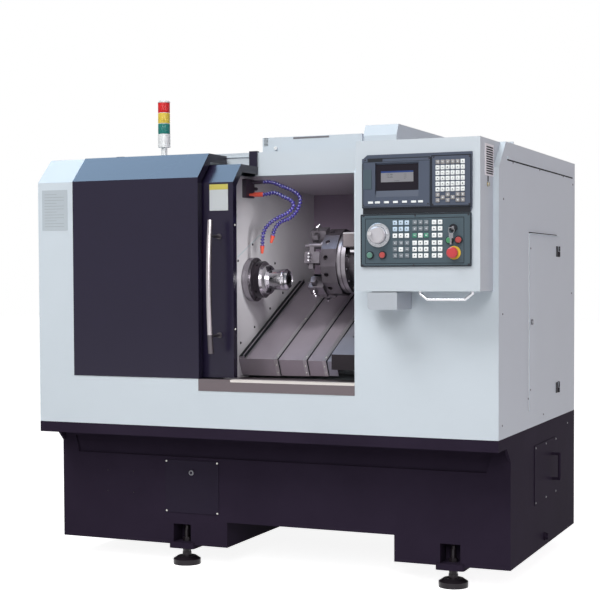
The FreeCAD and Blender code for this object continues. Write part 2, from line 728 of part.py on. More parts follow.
def carriage_cover():
    """Covers that ride with the saddle: the innermost slat, the front apron and the right wing."""
    slat = way_slat(125, saddle_left_x + 2, 3)
    shapes = [slat]
    apron_top = cover_level + 36.0
    front_u = -262.0
    y0, z0 = on_slant(front_u, apron_top)
    y1, z1 = on_slant(-120, apron_top)
    line = [(y0, z0 - 62), (y0, z0), (y1, z1)]
    shapes.append(folded(line, 2.0, saddle_left_x, saddle_right_x))
    for x in (saddle_left_x, saddle_right_x - 2):
        corners = [(y0, z0 - 62), (y0, z0), (y1, z1), on_slant(-120, saddle_top),
                   on_slant(-190, saddle_top)]
        shapes.append(prism_x(corners, x, x + 2))
    step = slant_block(saddle_left_x, saddle_right_x, -122, -120, saddle_top, apron_top)
    shapes.append(step)
    shapes.append(way_slat(saddle_right_x - 2, saddle_right_x + 150, 3))
    deck = slant_block(saddle_left_x, saddle_right_x, -121, 400, saddle_top, saddle_top + 2)
    deck = deck.cut(slant_block(saddle_left_x + 61.8, saddle_right_x - 29.8, -112.5, 441,
                                saddle_top - 1, saddle_top + 3))
    shapes.append(deck)
    return joined(shapes)


lip_height = 79.0          # square to the slope, like the whole slat
slat_step = 4.0
slat_front_u = -249.0
slat_rear_u = 461.0


def way_slat(x0, x1, order):
    """One telescopic way-cover slat; each next one nests a step below the one before."""
    level = cover_level - slat_step * order
    front_y, front_z = on_slant(slat_front_u + slat_step * order, level)
    rear_y, rear_z = on_slant(slat_rear_u - 1.5 * slat_step * order, level)
    lip = lip_height - slat_step * order
    line = [(front_y + lip * math.sin(slant), front_z - lip * math.cos(slant)), (front_y, front_z),
            (rear_y, rear_z), (rear_y, rear_z - 30)]
    return folded(line, 2.0, x0, x1)


def way_cover_1():
    """Fixed slat beside the headstock wall, with the raised wiper strip along the wall."""
    slat = way_slat(wall_x, 18, 0)
    front_y, front_z = on_slant(slat_front_u, cover_level)
    strip = slant_block(wall_x, wall_x + 26, slat_front_u + 4, slat_rear_u, cover_level, cover_level + 7)
    ridge = slant_block(wall_x + 22, wall_x + 26, slat_front_u + 4, slat_rear_u, cover_level + 7,
                        cover_level + 15)
    return joined([slat, strip, ridge])


def way_cover_2():
    return way_slat(-85, 145, 1)


def way_cover_3():
    return way_slat(38, 228, 2)


def way_cover_mid():
    return way_slat(692, 856, 2)


def way_cover_right():
    return way_slat(815, right_wall_x, 0)


turret_u = 160.0
disc_left_x = 158.0
disc_right_x = 225.0
disc_flats = 272.0
stations = 12
station_turn = math.radians(22.0)  # the disc stands indexed at this angle
seat_radius = 112.0        # distance of the bar seats from the disc's axis


def station_angle(step):
    return station_turn + step * 2 * math.pi / stations


def turret_place():
    return on_slant(turret_u, 0)


def cross_slide():
    """Cross slide: a plate with four rail blocks, carrying the turret."""
    plate = slant_block(320, 540, -90, 300, slide_seat + 24, slide_seat + 62)
    shapes = [plate]
    for x in (saddle_left_x + 90, saddle_right_x - 74):
        for u in (-84, 224):
            body = slant_block(x - 16, x + 36, u, u + 70, slide_seat + 3, slide_seat + 25)
            groove = slant_block(x - 0.4, x + 20.4, u - 1, u + 71, slide_seat, slide_seat + 16.4)
            shapes.append(body.cut(groove))
    nut = slant_block(cross_screw_x - 24, cross_screw_x + 24, 60, 110, slide_seat - 22, slide_seat + 25)
    shapes.append(nut)
    shape = joined(shapes)
    y, z = on_slant(40, cross_screw_n)
    bore = rod((cross_screw_x, y, z), (0, math.cos(slant), math.sin(slant)), 10.6, 100)
    return shape.cut(bore)


def turret_housing():
    """Indexing housing: bright front ring, rounded body and the drive motor beside it."""
    y, z = turret_place()
    ring = tube((disc_right_x + 0.5, y, z), (1, 0, 0), 128, 30.5, 36.5)
    collar = rod((disc_right_x + 36, y, z), (1, 0, 0), 92, 58)
    body = slant_block(disc_right_x + 93, 520, turret_u - 105, turret_u + 105, slide_seat + 62, 96)
    body = rounded(body, 34, along_x, lambda c: c.z > z - 60)
    motor = rounded(block(disc_right_x + 39, 520, 305, 385, 1334, 1393), 4, along_x)
    shape = joined([ring, collar, body, motor])
    return shape.cut(rod((disc_right_x, y, z), (1, 0, 0), 30.5, 120))


def turret_disc():
    """Twelve-sided tool disc on its hollow indexing shaft."""
    y, z = turret_place()
    radius = disc_flats / 2 / math.cos(math.pi / stations)
    corners = []
    for step in range(stations):
        angle = station_angle(step + 0.5)
        corners.append(vec(disc_left_x, y + radius * math.cos(angle), z + radius * math.sin(angle)))
    disc = Part.Face(Part.makePolygon(corners + corners[:1])).extrude(vec(disc_right_x - disc_left_x, 0, 0))
    disc = disc.fuse(rod((disc_left_x - 10, y, z), (1, 0, 0), 52, 12))
    disc = disc.fuse(rod((disc_right_x - 1, y, z), (1, 0, 0), 30, 100))
    for step in range(stations):
        angle = station_angle(step)
        out_y = math.cos(angle)
        out_z = math.sin(angle)
        mouth = (disc_left_x + 22, y + (disc_flats / 2 + 1) * out_y, z + (disc_flats / 2 + 1) * out_z)
        disc = disc.cut(rod(mouth, (0, -out_y, -out_z), 10, 30))
        if step % 2 == 0:
            seat = (disc_left_x - 1, y + seat_radius * out_y, z + seat_radius * out_z)
            disc = disc.cut(rod(seat, (1, 0, 0), 16, 50))
    return disc


def tool_holders():
    """Six block holders with square-shank tools, and two bar holders with their bars."""
    y, z = turret_place()
    solids = []
    for step in range(stations):
        if step % 2:
            body = block(disc_left_x - 66, disc_left_x, -24, 24, 92, 150)
            slot = block(disc_left_x - 50, disc_left_x - 30, -25, 25, 118, 142)
            tool = block(disc_left_x - 49.95, disc_left_x - 30.05, -46, 46, 120, 139)
            tip = block(disc_left_x - 52, disc_left_x - 46, 36, 46, 121, 126)
            screws = [prism_hex((disc_left_x - 40, w, 139), (0, 0, 1), 10, 26) for w in (-14, 0, 14)]
            holder = joined([body.cut(slot), tool, tip] + screws)
        elif step in (4, 10):
            collar = rod((disc_left_x - 8, 0, seat_radius), (1, 0, 0), 22, 8)
            body = rod((disc_left_x - 66, 0, seat_radius), (1, 0, 0), 13, 60)
            shank = rod((disc_left_x - 1, 0, seat_radius), (1, 0, 0), 15.95, 48)
            bar = rod((disc_left_x - 86, 0, seat_radius), (1, 0, 0), 7, 24)
            holder = joined([collar, body, shank, bar])
        else:
            continue
        holder.rotate(vec(0, 0, 0), along_x, math.degrees(station_angle(step)) - 90)
        holder.translate(vec(0, y, z))
        solids.append(holder)
    return Part.makeCompound(solids)


# ---------------------------------------------------------------- door
def door():
    """Sliding door: a folded sheet whose top lies flat below the cover, with its two hangers."""
    line = front_line(door_inset, 283.0)
    line[0] = (door_inset, sill_top_z + 3)
    left = door_right_x - door_width
    skin = folded(line, 2.5, left, door_right_x)
    end_flange = folded(line, 32.0, door_right_x - 2.5, door_right_x)
    left_flange = folded(line, 16.0, left, left + 2.5)
    bottom = block(left, door_right_x, door_inset, door_inset + 16, sill_top_z + 3, sill_top_z + 5.5)
    shapes = [skin, end_flange, left_flange, bottom]
    top_z = roof_z - door_inset
    for x in (door_right_x - 36, left + 40):
        shapes.append(block(x, x + 36, 273, 278, top_z - 20, 1737))
        shapes.append(block(x, x + 36, 273, 296, 1733, 1737))
    return joined(shapes)


handle_x = -168.0
handle_top_z = 1441.0
handle_bottom_z = 910.0


def door_handle():
    """Bowed stainless tube on two stand-offs."""
    mid_z = (handle_top_z + handle_bottom_z) / 2
    tube_y = door_inset - 78.0
    bow = 16.0
    path = Part.Arc(vec(handle_x, tube_y, handle_bottom_z), vec(handle_x, tube_y - bow, mid_z),
                    vec(handle_x, tube_y, handle_top_z)).toShape()
    ring = Part.Wire(Part.makeCircle(11, vec(handle_x, tube_y, handle_bottom_z), path.tangentAt(0)))
    grip = Part.Wire(path).makePipeShell([ring], True, False)
    shapes = [grip]
    for z in (1378.0, 980.0):
        shapes.append(rod((handle_x, tube_y - 8, z), (0, 1, 0), 6, 86 - 0))
        shapes.append(rod((handle_x, door_inset - 4, z), (0, 1, 0), 11, 4))
    return joined(shapes)


# ---------------------------------------------------------------- control box and its panels
def control_box():
    """Overhanging sheet box; its rear edge follows the leaning strip of the front."""
    side = [(box_front_y, box_bottom_z), (0, box_bottom_z), (0, bend_z), (box_top_z - bend_z, box_top_z),
            (box_front_y, box_top_z)]
    shell = prism_x(side, box_left_x, box_right_x)
    shell = shell.cut(block(box_left_x + sheet, box_right_x - sheet, box_front_y + sheet, -sheet,
                            box_bottom_z + sheet, box_top_z - sheet))
    for z0, z1 in ((1478, 1632), (1272, 1430)):
        shell = shell.cut(block(548, 935, box_front_y - 1, box_front_y + sheet + 1, z0, z1))
    for row in range(12):
        z = 1586 + row * 8.6
        shell = shell.cut(block(box_right_x - sheet - 1, box_right_x + 1, -98, -6, z, z + 4.4))
    plate = block(box_right_x, box_right_x + 2, -114, -1, 1579, 1694)
    for row in range(12):
        z = 1586 + row * 8.6
        plate = plate.cut(block(box_right_x - 1, box_right_x + 3, -98, -6, z, z + 4.4))
    lock = rod((box_right_x, -73, 1548), (1, 0, 0), 9, 6)
    return shell.fuse(plate).fuse(lock).removeSplitter()


panel_y = box_front_y      # rear face of the panels lies on the box front
unit_depth = 14.0


def display_unit():
    """Screen unit: a chamfered frame, a deep bevelled recess and seven soft keys."""
    x0, x1, z0, z1 = 535.0, 799.0, 1465.0, 1646.0
    frame = block(x0, x1, panel_y - unit_depth, panel_y, z0, z1)
    back_plate = [(x0, 1445), (946, 1445), (951, 1462), (951, 1660), (552, 1660), (x0, 1646)]
    frame = frame.fuse(prism_y(back_plate, panel_y - 5, panel_y))
    front = panel_y - unit_depth
    recess = [(front - 1, 1502), (front - 1, 1630), (front + 8, 1624), (front + 8, 1528)]
    frame = frame.cut(prism_x(recess, 586, 753))
    for x in (568.6, 595.6, 630.4, 665.2, 700.0, 734.8, 761.0):
        key = rounded(block(x - 9, x + 9, front - 2, front + 1, 1482, 1489), 2, along_y)
        frame = frame.fuse(key)
    cover = block(541, 572, front - 1.2, front, 1535, 1606)
    return frame.fuse(cover).removeSplitter()


def mdi_keypad():
    """Data keypad: a framed plate with rows of square keys."""
    x0, x1, z0, z1 = 801.0, 950.0, 1466.0, 1650.0
    front = panel_y - unit_depth
    shape = block(x0, x1, front, panel_y - 5, z0, z1)
    key = 14.5
    pitch = 18.7
    row_pitch = 19.6
    for column in range(6):
        for row in range(8):
            x = 825.7 + column * pitch
            z = 1625 - row * row_pitch
            if column in (1, 3) and row == 7:
                continue
            if column in (1, 3) and row == 6:
                z -= row_pitch / 2
            cap = block(x - key / 2, x + key / 2, front - 2.5, front, z - key / 2, z + key / 2)
            shape = shape.fuse(cap)
    return shape.removeSplitter()


panel_front = box_front_y - 10.0
button_places = {
    "start_button": (565.0, 1293.0), "hold_button": (614.0, 1293.0),
    "power_on_button": (869.0, 1344.0), "power_off_button": (903.0, 1345.0)}
button_bore = 11.08        # an 11 mm plunger slides in it
wheel_x = 599.0
wheel_z = 1366.0
switch_x = 884.0
switch_z = 1388.0
stop_x = 886.0
stop_z = 1299.0


def operator_panel():
    """Lower panel with its key groups and the fixed rings of the buttons and dials."""
    shape = rounded(block(527, 949, panel_front, panel_y, 1250, 1443), 5, along_y)
    rim = block(545, 923, panel_front - 1, panel_front + 1, 1261, 1427)
    rim = rim.cut(block(547, 921, panel_front - 2, panel_front + 2, 1263, 1425))
    shape = shape.cut(rim)
    key = 15.0
    rows = (1410, 1387, 1363, 1336, 1313, 1290)
    groups = ((662.0, 3, 22.9), (737.4, 3, 21.9), (811.2, 2, 22.5))
    for first_x, columns, pitch in groups:
        for column in range(columns):
            for z in rows:
                x = first_x + column * pitch
                cap = block(x - key / 2, x + key / 2, panel_front - 2.5, panel_front,
                            z - key / 2, z + key / 2)
                shape = shape.fuse(cap)
    for x, z in button_places.values():
        shape = shape.cut(rod((x, panel_front - 1, z), (0, 1, 0), button_bore, 30))
        bezel = tube((x, panel_front - 6, z), (0, 1, 0), 14.5, button_bore, 6)
        shape = shape.fuse(bezel)
    shape = shape.cut(rod((switch_x, panel_front - 1, switch_z), (0, 1, 0), 6.1, 30))
    shape = shape.fuse(tube((switch_x, panel_front - 9, switch_z), (0, 1, 0), 14, 6.1, 9))
    shape = shape.cut(rod((stop_x, panel_front - 1, stop_z), (0, 1, 0), button_bore, 30))
    shape = shape.fuse(tube((stop_x, panel_front - 3, stop_z), (0, 1, 0), 24, button_bore, 3))
    shape = shape.cut(rod((wheel_x, panel_front - 1, wheel_z), (0, 1, 0), 8.05, 30))
    shape = shape.fuse(tube((wheel_x, panel_front - 9, wheel_z), (0, 1, 0), 43.5, 8.05, 9))
    return shape.removeSplitter()


def push_button(name):
    """Round push button: a domed cap on its plunger."""
    x, z = button_places[name]
    cap = rod((x, panel_front - 9, z), (0, 1, 0), 11, 22)
    crown = cone((x, panel_front - 9, z), (0, -1, 0), 11, 9, 1.5)
    return cap.fuse(crown)


def estop_button():
    """Mushroom head on its plunger."""
    stem = rod((stop_x, panel_front - 16, stop_z), (0, 1, 0), 11, 30)
    head = cone((stop_x, panel_front - 14, stop_z), (0, -1, 0), 17, 20, 6)
    middle = rod((stop_x, panel_front - 30, stop_z), (0, 1, 0), 20, 10)
    crown = cone((stop_x, panel_front - 30, stop_z), (0, -1, 0), 20, 15, 4)
    return joined([stem, head, middle, crown])


def switch_key():
    """Key in its cylinder, with a second key hanging from the ring."""
    plug = rod((switch_x, panel_front - 11, switch_z), (0, 1, 0), 6, 24)
    bow = block(switch_x - 10, switch_x + 10, panel_front - 34, panel_front - 18, switch_z - 1,
                switch_z + 1)
    blade = block(switch_x - 4, switch_x + 4, panel_front - 20, panel_front - 9, switch_z - 1,
                  switch_z + 1)
    ring = tube((switch_x, panel_front - 30, switch_z - 10), (0, 1, 0), 12, 10, 2)
    spare = block(switch_x - 9, switch_x + 7, panel_front - 30, panel_front - 28, switch_z - 38,
                  switch_z - 19)
    stem = block(switch_x - 5, switch_x + 1, panel_front - 30, panel_front - 28, switch_z - 60,
                 switch_z - 37)
    return joined([plug, bow, blade, ring, spare, stem])


def handwheel_dial():
    """Pulse handwheel: a knurled disc with a dished face and a small crank knob."""
    shaft = rod((wheel_x, panel_front - 12, wheel_z), (0, 1, 0), 8, 25)
    disc = rod((wheel_x, panel_front - 27, wheel_z), (0, 1, 0), 31, 17)
    crown = cone((wheel_x, panel_front - 27, wheel_z), (0, -1, 0), 31, 27, 4)
    shape = joined([shaft, disc, crown])
    for step in range(24):
        angle = math.radians(15 * step)
        notch = rod((wheel_x + 32 * math.cos(angle), panel_front - 32, wheel_z + 32 * math.sin(angle)),
                    (0, 1, 0), 2, 23)
        shape = shape.cut(notch)
    knob_x = wheel_x - 19
    knob_z = wheel_z + 5
    stalk = rod((knob_x, panel_front - 42, knob_z), (0, 1, 0), 3.5, 14)
    knob = cone((knob_x, panel_front - 52, knob_z), (0, 1, 0), 7.5, 5, 14)
    return joined([shape, stalk, knob])


def accessory_pod():
    """Small housing under the left end of the box, with a rounded lower corner."""
    pod = block(549, 664, box_front_y + 2, -4, 1092, 1156)
    pod = rounded(pod, 14, along_y, lambda c: c.z < 1100 and c.x < 600)
    return pod.fuse(block(560, 652, box_front_y + 20, -20, 1155, box_bottom_z))


def grab_handle():
    """Round bar bent to a wide U under the box."""
    y = -150.0
    top = box_bottom_z
    low = 1130.0
    points = [vec(747, y, top), vec(747, y, low + 22), vec(775, y, low), vec(916, y, low),
              vec(944, y, low + 22), vec(944, y, top)]
    shapes = []
    for first, second in zip(points[:-1], points[1:]):
        run = second.sub(first)
        shapes.append(Part.makeCylinder(6, run.Length, first, run))
    for point in points[1:-1]:
        shapes.append(Part.makeSphere(6, point))
    return joined(shapes)


# ---------------------------------------------------------------- signal tower
tower_x = -716.0
tower_y = 590.0
lens_radius = 27.0


def tower_base():
    """Post with its foot bracket, and the white cylinder under the lamps."""
    foot = rod((tower_x, tower_y, roof_z), (0, 0, 1), 34, 8)
    post = rod((tower_x, tower_y, roof_z + 7), (0, 0, 1), 14, 80)
    white = rod((tower_x, tower_y, 1801), (0, 0, 1), lens_radius + 1, 60)
    gaps = [rod((tower_x, tower_y, z), (0, 0, 1), lens_radius - 1, 2) for z in (1907, 1955)]
    cap = rod((tower_x, tower_y, 2002), (0, 0, 1), lens_radius + 1, 5)
    dome = cone((tower_x, tower_y, 2007), (0, 0, 1), lens_radius + 1, 20, 5)
    core = rod((tower_x, tower_y, 1860), (0, 0, 1), 9, 143)
    return joined([foot, post, white, cap, dome, core] + gaps)


def tower_lenses():
    """Three ring lenses stacked on the base: green, amber and red from below."""
    lenses = []
    for z0, z1 in ((1861, 1907), (1909, 1955), (1957, 2002)):
        lenses.append(tube((tower_x, tower_y, z0), (0, 0, 1), lens_radius, 20, z1 - z0))
    return Part.makeCompound(lenses)


# ---------------------------------------------------------------- coolant supply
# Routes of the two bead hoses in their upright planes, as (x, z) points picked by hand.
upper_route = ((-85, 1609), (-60, 1609), (-36, 1603), (-6, 1590), (26, 1578), (56, 1563), (75, 1545),
               (78, 1524), (70, 1501), (54, 1476), (28, 1456), (-7, 1443), (-28, 1427), (-41, 1404), (-46, 1386))
upper_route_y = 300.0
lower_route = ((-74, 1556), (-52, 1558), (-30, 1562), (-9, 1557), (14, 1545), (40, 1534), (58, 1519),
               (60, 1502), (46, 1486), (18, 1470), (-16, 1455), (-46, 1437), (-67, 1415), (-77, 1390),
               (-80, 1366), (-81, 1343))
lower_route_y = 270.0
manifold_right_x = -137.0
link_pitch = 12.5
link_radius = 9.0
shoulder_share = 0.55      # where a link is widest, as a share of its length
neck_radius = 6.6
hose_bore = 4.0
link_sides = 12
bore_sides = 8


def hose_curve(route, y):
    curve = Part.BSplineCurve()
    points = [vec(x, y, z) for x, z in route]
    curve.interpolate(Points=points, InitialTangent=along_x, FinalTangent=points[-1].sub(points[-2]))
    return curve


def ring_on(curve, place, radius, sides):
    """A many-sided ring square to the hose, at a distance along it."""
    parameter = curve.parameterAtDistance(place, curve.FirstParameter)
    centre = curve.value(parameter)
    sideways = along_y.cross(vec(*curve.tangent(parameter)[0]))
    points = []
    for side in range(sides):
        angle = 2 * math.pi * side / sides
        points.append(centre + along_y * (radius * math.cos(angle)) + sideways * (radius * math.sin(angle)))
    return Part.makePolygon(points + points[:1])


def bead_hose(route, y):
    """Chain of ball-jointed links: each link swells from its neck to a shoulder and back."""
    curve = hose_curve(route, y)
    run = curve.length()
    links = int(run / link_pitch)
    pitch = run / links
    outer = [ring_on(curve, 0, neck_radius, link_sides)]
    for link in range(links):
        outer.append(ring_on(curve, (link + shoulder_share) * pitch, link_radius, link_sides))
        outer.append(ring_on(curve, min((link + 1) * pitch, run), neck_radius, link_sides))
    inner = [ring_on(curve, min(link * pitch, run), hose_bore, bore_sides) for link in range(links + 1)]
    solid = Part.makeLoft(outer, True, True)
    print("hose length", round(run), "mm,", links, "links of", round(pitch, 1), "mm")
    return solid.cut(Part.makeLoft(inner, True, True))


def hose_end(route, y):
    """Last point of a hose and the direction in which it leaves."""
    curve = hose_curve(route, y)
    tangent = vec(*curve.tangent(curve.LastParameter)[0])
    return curve.EndPoint, tangent


def hose_nozzles():
    """Tapered nozzles on both hoses and the red elbow fitting of the lower one."""
    solids = []
    for route, y in ((upper_route, upper_route_y), (lower_route, lower_route_y)):
        point, run = hose_end(route, y)
        tip = Part.makeCone(9.6, 5.0, 32, point, run)
        bore = Part.makeCylinder(2.6, 32, point, run)
        solids.append(tip.cut(bore))
    start_x, start_z = lower_route[0]
    neck = rod((manifold_right_x, lower_route_y, start_z), (1, 0, 0), 6, 22)
    cup = rod((manifold_right_x + 20, lower_route_y, start_z), (1, 0, 0), 9.6, start_x - manifold_right_x - 20)
    fitting = neck.fuse(cup)
    fitting = fitting.cut(rod((manifold_right_x, lower_route_y, start_z), (1, 0, 0), 4, 70))
    solids.append(fitting.removeSplitter())
    return Part.makeCompound(solids)


def coolant_manifold():
    """Dark distributor block on the headstock wall, with the supply pipe under the ceiling."""
    body = rounded(block(wall_x, manifold_right_x, 238, 316, 1543, 1621), 5, along_x)
    start_x, start_z = upper_route[0]
    pipe = rod((manifold_right_x - 1, upper_route_y, start_z), (1, 0, 0), 8, start_x - manifold_right_x + 1)
    supply = rod((manifold_right_x - 10, 315, 1585), (0, 1, 0), 7, 40)
    elbow = Part.makeSphere(7, vec(manifold_right_x - 10, 355, 1585))
    into_wall = rod((wall_x, 355, 1585), (1, 0, 0), 7, manifold_right_x - 10 - wall_x)
    return joined([body, pipe, supply, elbow, into_wall])


# ---------------------------------------------------------------- write all pieces
makers = {
    "base_frame": base_frame, "base_front_cover": base_front_cover, "base_side_cover": base_side_cover,
    "levelling_feet": levelling_feet, "front_panel": front_panel, "fixed_cover": fixed_cover,
    "header_beam": header_beam, "sill_strip": sill_strip, "roof_panel": roof_panel,
    "left_side_panel": left_side_panel, "right_side_panel": right_side_panel, "rear_panel": rear_panel,
    "headstock_wall": headstock_wall, "inner_liner": inner_liner, "chip_tray": chip_tray, "bed": bed,
    "z_drive": z_drive, "headstock": headstock, "spindle_motor": spindle_motor, "drive_belt": drive_belt,
    "way_cover_1": way_cover_1, "way_cover_right": way_cover_right, "control_box": control_box,
    "display_unit": display_unit, "mdi_keypad": mdi_keypad, "operator_panel": operator_panel,
    "accessory_pod": accessory_pod, "grab_handle": grab_handle, "tower_base": tower_base,
    "tower_lenses": tower_lenses, "coolant_manifold": coolant_manifold, "hose_nozzles": hose_nozzles,
    "door": door, "door_handle": door_handle, "side_door": side_door, "spindle_shaft": spindle_shaft,
    "chuck_body": chuck_body, "nose_sleeve": nose_sleeve, "collet": collet,
    "spindle_pulley": spindle_pulley, "motor_pulley": motor_pulley, "carriage": carriage,
    "carriage_cover": carriage_cover, "x_drive": x_drive, "cross_slide": cross_slide,
    "turret_housing": turret_housing, "turret_disc": turret_disc, "tool_holders": tool_holders,
    "way_cover_2": way_cover_2, "way_cover_3": way_cover_3, "way_cover_mid": way_cover_mid,
    "estop_button": estop_button, "switch_key": switch_key, "handwheel_dial": handwheel_dial}

for name, maker in makers.items():
    parts[name] = maker()
for name in button_places:
    parts[name] = push_button(name)
parts["coolant_hose_upper"] = bead_hose(upper_route, upper_route_y)
parts["coolant_hose_lower"] = bead_hose(lower_route, lower_route_y)

bounds = FreeCAD.BoundBox()
for shape in parts.values():
    bounds.add(shape.BoundBox)
to_origin = vec(-(bounds.XMin + bounds.XMax) / 2, -(bounds.YMin + bounds.YMax) / 2, 0)
print("moved by", round(to_origin.x, 2), round(to_origin.y, 2), "size", round(bounds.XLength, 1),
      round(bounds.YLength, 1), round(bounds.ZLength, 1))

os.makedirs("parts", exist_ok=True)
for name, shape in parts.items():
    shape = shape.copy()
    shape.translate(to_origin)
    if not shape.isValid():
        print("not valid:", name)
    shape.exportStep("parts/" + name + ".step")
print(len(parts), "pieces written")
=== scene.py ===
# %% [markdown]
# # A turning lathe, dressed piece by piece
# The sheets, castings and slides of this lathe arrive as finished solids. This lesson gives
# them their paints and metals, and adds what is too small for the solids: screws, key caps,
# bead hoses, lamp lenses, scales and plates. Everything is in metres and stays in one frame.

# %% Load the solids
import math

import bmesh
import bpy
from mathutils import Matrix, Vector


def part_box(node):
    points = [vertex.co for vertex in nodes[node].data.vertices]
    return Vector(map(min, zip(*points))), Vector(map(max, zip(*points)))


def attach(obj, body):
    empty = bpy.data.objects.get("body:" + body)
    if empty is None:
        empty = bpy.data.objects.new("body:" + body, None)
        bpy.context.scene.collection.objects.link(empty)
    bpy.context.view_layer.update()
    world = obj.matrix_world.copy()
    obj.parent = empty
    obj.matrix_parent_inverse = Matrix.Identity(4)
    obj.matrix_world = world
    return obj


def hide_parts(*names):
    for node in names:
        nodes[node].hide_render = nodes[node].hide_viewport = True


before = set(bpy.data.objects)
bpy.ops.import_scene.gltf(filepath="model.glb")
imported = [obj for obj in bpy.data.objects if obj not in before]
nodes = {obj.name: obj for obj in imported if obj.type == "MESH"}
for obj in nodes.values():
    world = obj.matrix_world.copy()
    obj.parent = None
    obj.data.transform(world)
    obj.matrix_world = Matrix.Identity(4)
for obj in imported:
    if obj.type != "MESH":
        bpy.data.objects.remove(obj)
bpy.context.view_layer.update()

# %% [markdown]
# ## One way to say where things are
# On a real cabinet a fitter measures from the left edge and the face of the front sheet, and
# up from the floor. `at` does the same: millimetres in, a point of the frame out. The two
# starting lines are read from the front sheet itself, so nothing has to be fitted by eye.

# %% Measure from the front sheet
sheet_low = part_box("front_panel")[0]
MIDDLE_X = sheet_low.x + 1.000
FACE_Y = sheet_low.y


def at(x, y, z):
    """A point in mm from the cabinet's middle, its front face and the floor."""
    return Vector((MIDDLE_X + x / 1000, FACE_Y + y / 1000, z / 1000))


print("front face at", round(FACE_Y, 4), "middle at", round(MIDDLE_X, 4))

# %% [markdown]
# ## The camera
# The photographer stood to the right of the machine with a long lens, so lines stay nearly
# straight. Place, turn and lens come from solving the view over corners of known size.


# %% Place the camera
def shown(name, data):
    """A new object in the scene for some data."""
    made = bpy.data.objects.new(name, data)
    bpy.context.scene.collection.objects.link(made)
    return made


camera_data = bpy.data.cameras.new("studio_camera")
camera = shown("studio_camera", camera_data)
camera_data.sensor_width = 36.0
camera_data.lens = 84.2
camera_data.shift_x = 0.0048
camera_data.shift_y = 0.0431
camera_data.clip_end = 60.0
swing = Matrix.Rotation(math.radians(23.409), 4, "Z")
tilt = Matrix.Rotation(math.radians(90.0 - 2.072), 4, "X")
roll = Matrix.Rotation(math.radians(-0.237), 4, "Z")
camera.matrix_world = Matrix.Translation(at(2369.9, -5030.7, 1221.1)) @ swing @ tilt @ roll
bpy.context.scene.camera = camera
print("camera", [round(v, 3) for v in camera.location])

# %% [markdown]
# ## Helpers for materials
# A painted sheet is never one colour: it has a faint cloudiness, a fine orange-peel skin and
# patches that shine a little more. Each finish below is one shader with two noises: a slow
# one for the colour, and a fine one for both the gloss and the bump. Values that are
# the same everywhere are set on the shader's own sockets.

# %% Wire up one finish
FACTOR, COLOUR_A, COLOUR_B, COLOUR_OUT = 0, 6, 7, 2     # sockets of a mix node set to colour
VALUE_A, VALUE_B, VALUE_OUT = 2, 3, 0                   # and of one set to plain values


def add(tree, kind, settings=None, **inputs):
    """Adds a node; settings are its options, inputs its sockets by name."""
    made = tree.nodes.new(kind)
    for option, value in (settings or {}).items():
        setattr(made, option, value)
    for socket, value in inputs.items():
        made.inputs[socket.replace("_", " ")].default_value = value
    return made


def link(source, output, target, socket):
    """Joins an output of one node to a socket of another, each by name or number."""
    source.id_data.links.new(source.outputs[output], target.inputs[socket])


def calculate(tree, operation, value=None):
    """A math node, with its second value where that is fixed."""
    made = add(tree, "ShaderNodeMath", {"operation": operation})
    if value is not None:
        made.inputs[1].default_value = value
    return made


def tints(colour, spread):
    """A darker and a lighter form of one colour."""
    dark = tuple(c * (1 - spread) for c in colour) + (1.0,)
    light = tuple(min(1.0, c * (1 + spread)) for c in colour) + (1.0,)
    return dark, light


def finish(name, colour, rough=0.5, metal=0.0, cloud=0.06, cloud_scale=3.0, gloss_spread=0.08,
           grain=0.12, grain_scale=700.0, stretch=(1, 1, 1), depth=0.0002, spec=0.5):
    """One shader with colour clouds, uneven gloss and a fine bumpy skin."""
    material = bpy.data.materials.new(name)
    material.use_nodes = True
    tree = material.node_tree
    shader = tree.nodes["Principled BSDF"]
    shader.inputs["Metallic"].default_value = metal
    shader.inputs["Specular IOR Level"].default_value = spec
    place = add(tree, "ShaderNodeTexCoord")
    lengthen = add(tree, "ShaderNodeMapping", Scale=stretch)
    link(place, "Object", lengthen, "Vector")
    clouds = add(tree, "ShaderNodeTexNoise", Scale=cloud_scale, Detail=5.0, Roughness=0.6)
    skin = add(tree, "ShaderNodeTexNoise", Scale=grain_scale, Detail=3.0)
    link(place, "Object", clouds, "Vector")
    link(lengthen, "Vector", skin, "Vector")
    blend = add(tree, "ShaderNodeMix", {"data_type": "RGBA"})
    for socket, tint in zip((COLOUR_A, COLOUR_B), tints(colour, cloud)):
        blend.inputs[socket].default_value = tint
    link(clouds, "Fac", blend, FACTOR)
    link(blend, COLOUR_OUT, shader, "Base Color")
    gloss = add(tree, "ShaderNodeMapRange", To_Min=max(0.02, rough - gloss_spread),
                To_Max=min(1.0, rough + gloss_spread))
    link(skin, "Fac", gloss, "Value")
    link(gloss, "Result", shader, "Roughness")
    bump = add(tree, "ShaderNodeBump", Strength=grain, Distance=depth)
    link(skin, "Fac", bump, "Height")
    link(bump, "Normal", shader, "Normal")
    return material


# %% Let one piece carry two finishes
def joint_of(tree, operation, first, second):
    """A math node over two linked values."""
    made = calculate(tree, operation)
    tree.links.new(first, made.inputs[0])
    tree.links.new(second, made.inputs[1])
    return made.outputs[0]


def between(tree, value, low, high):
    """1 where a coordinate lies between two limits, 0 elsewhere."""
    above, below = calculate(tree, "GREATER_THAN", low), calculate(tree, "LESS_THAN", high)
    for side in (above, below):
        tree.links.new(value, side.inputs[0])
    return joint_of(tree, "MULTIPLY", above.outputs[0], below.outputs[0])


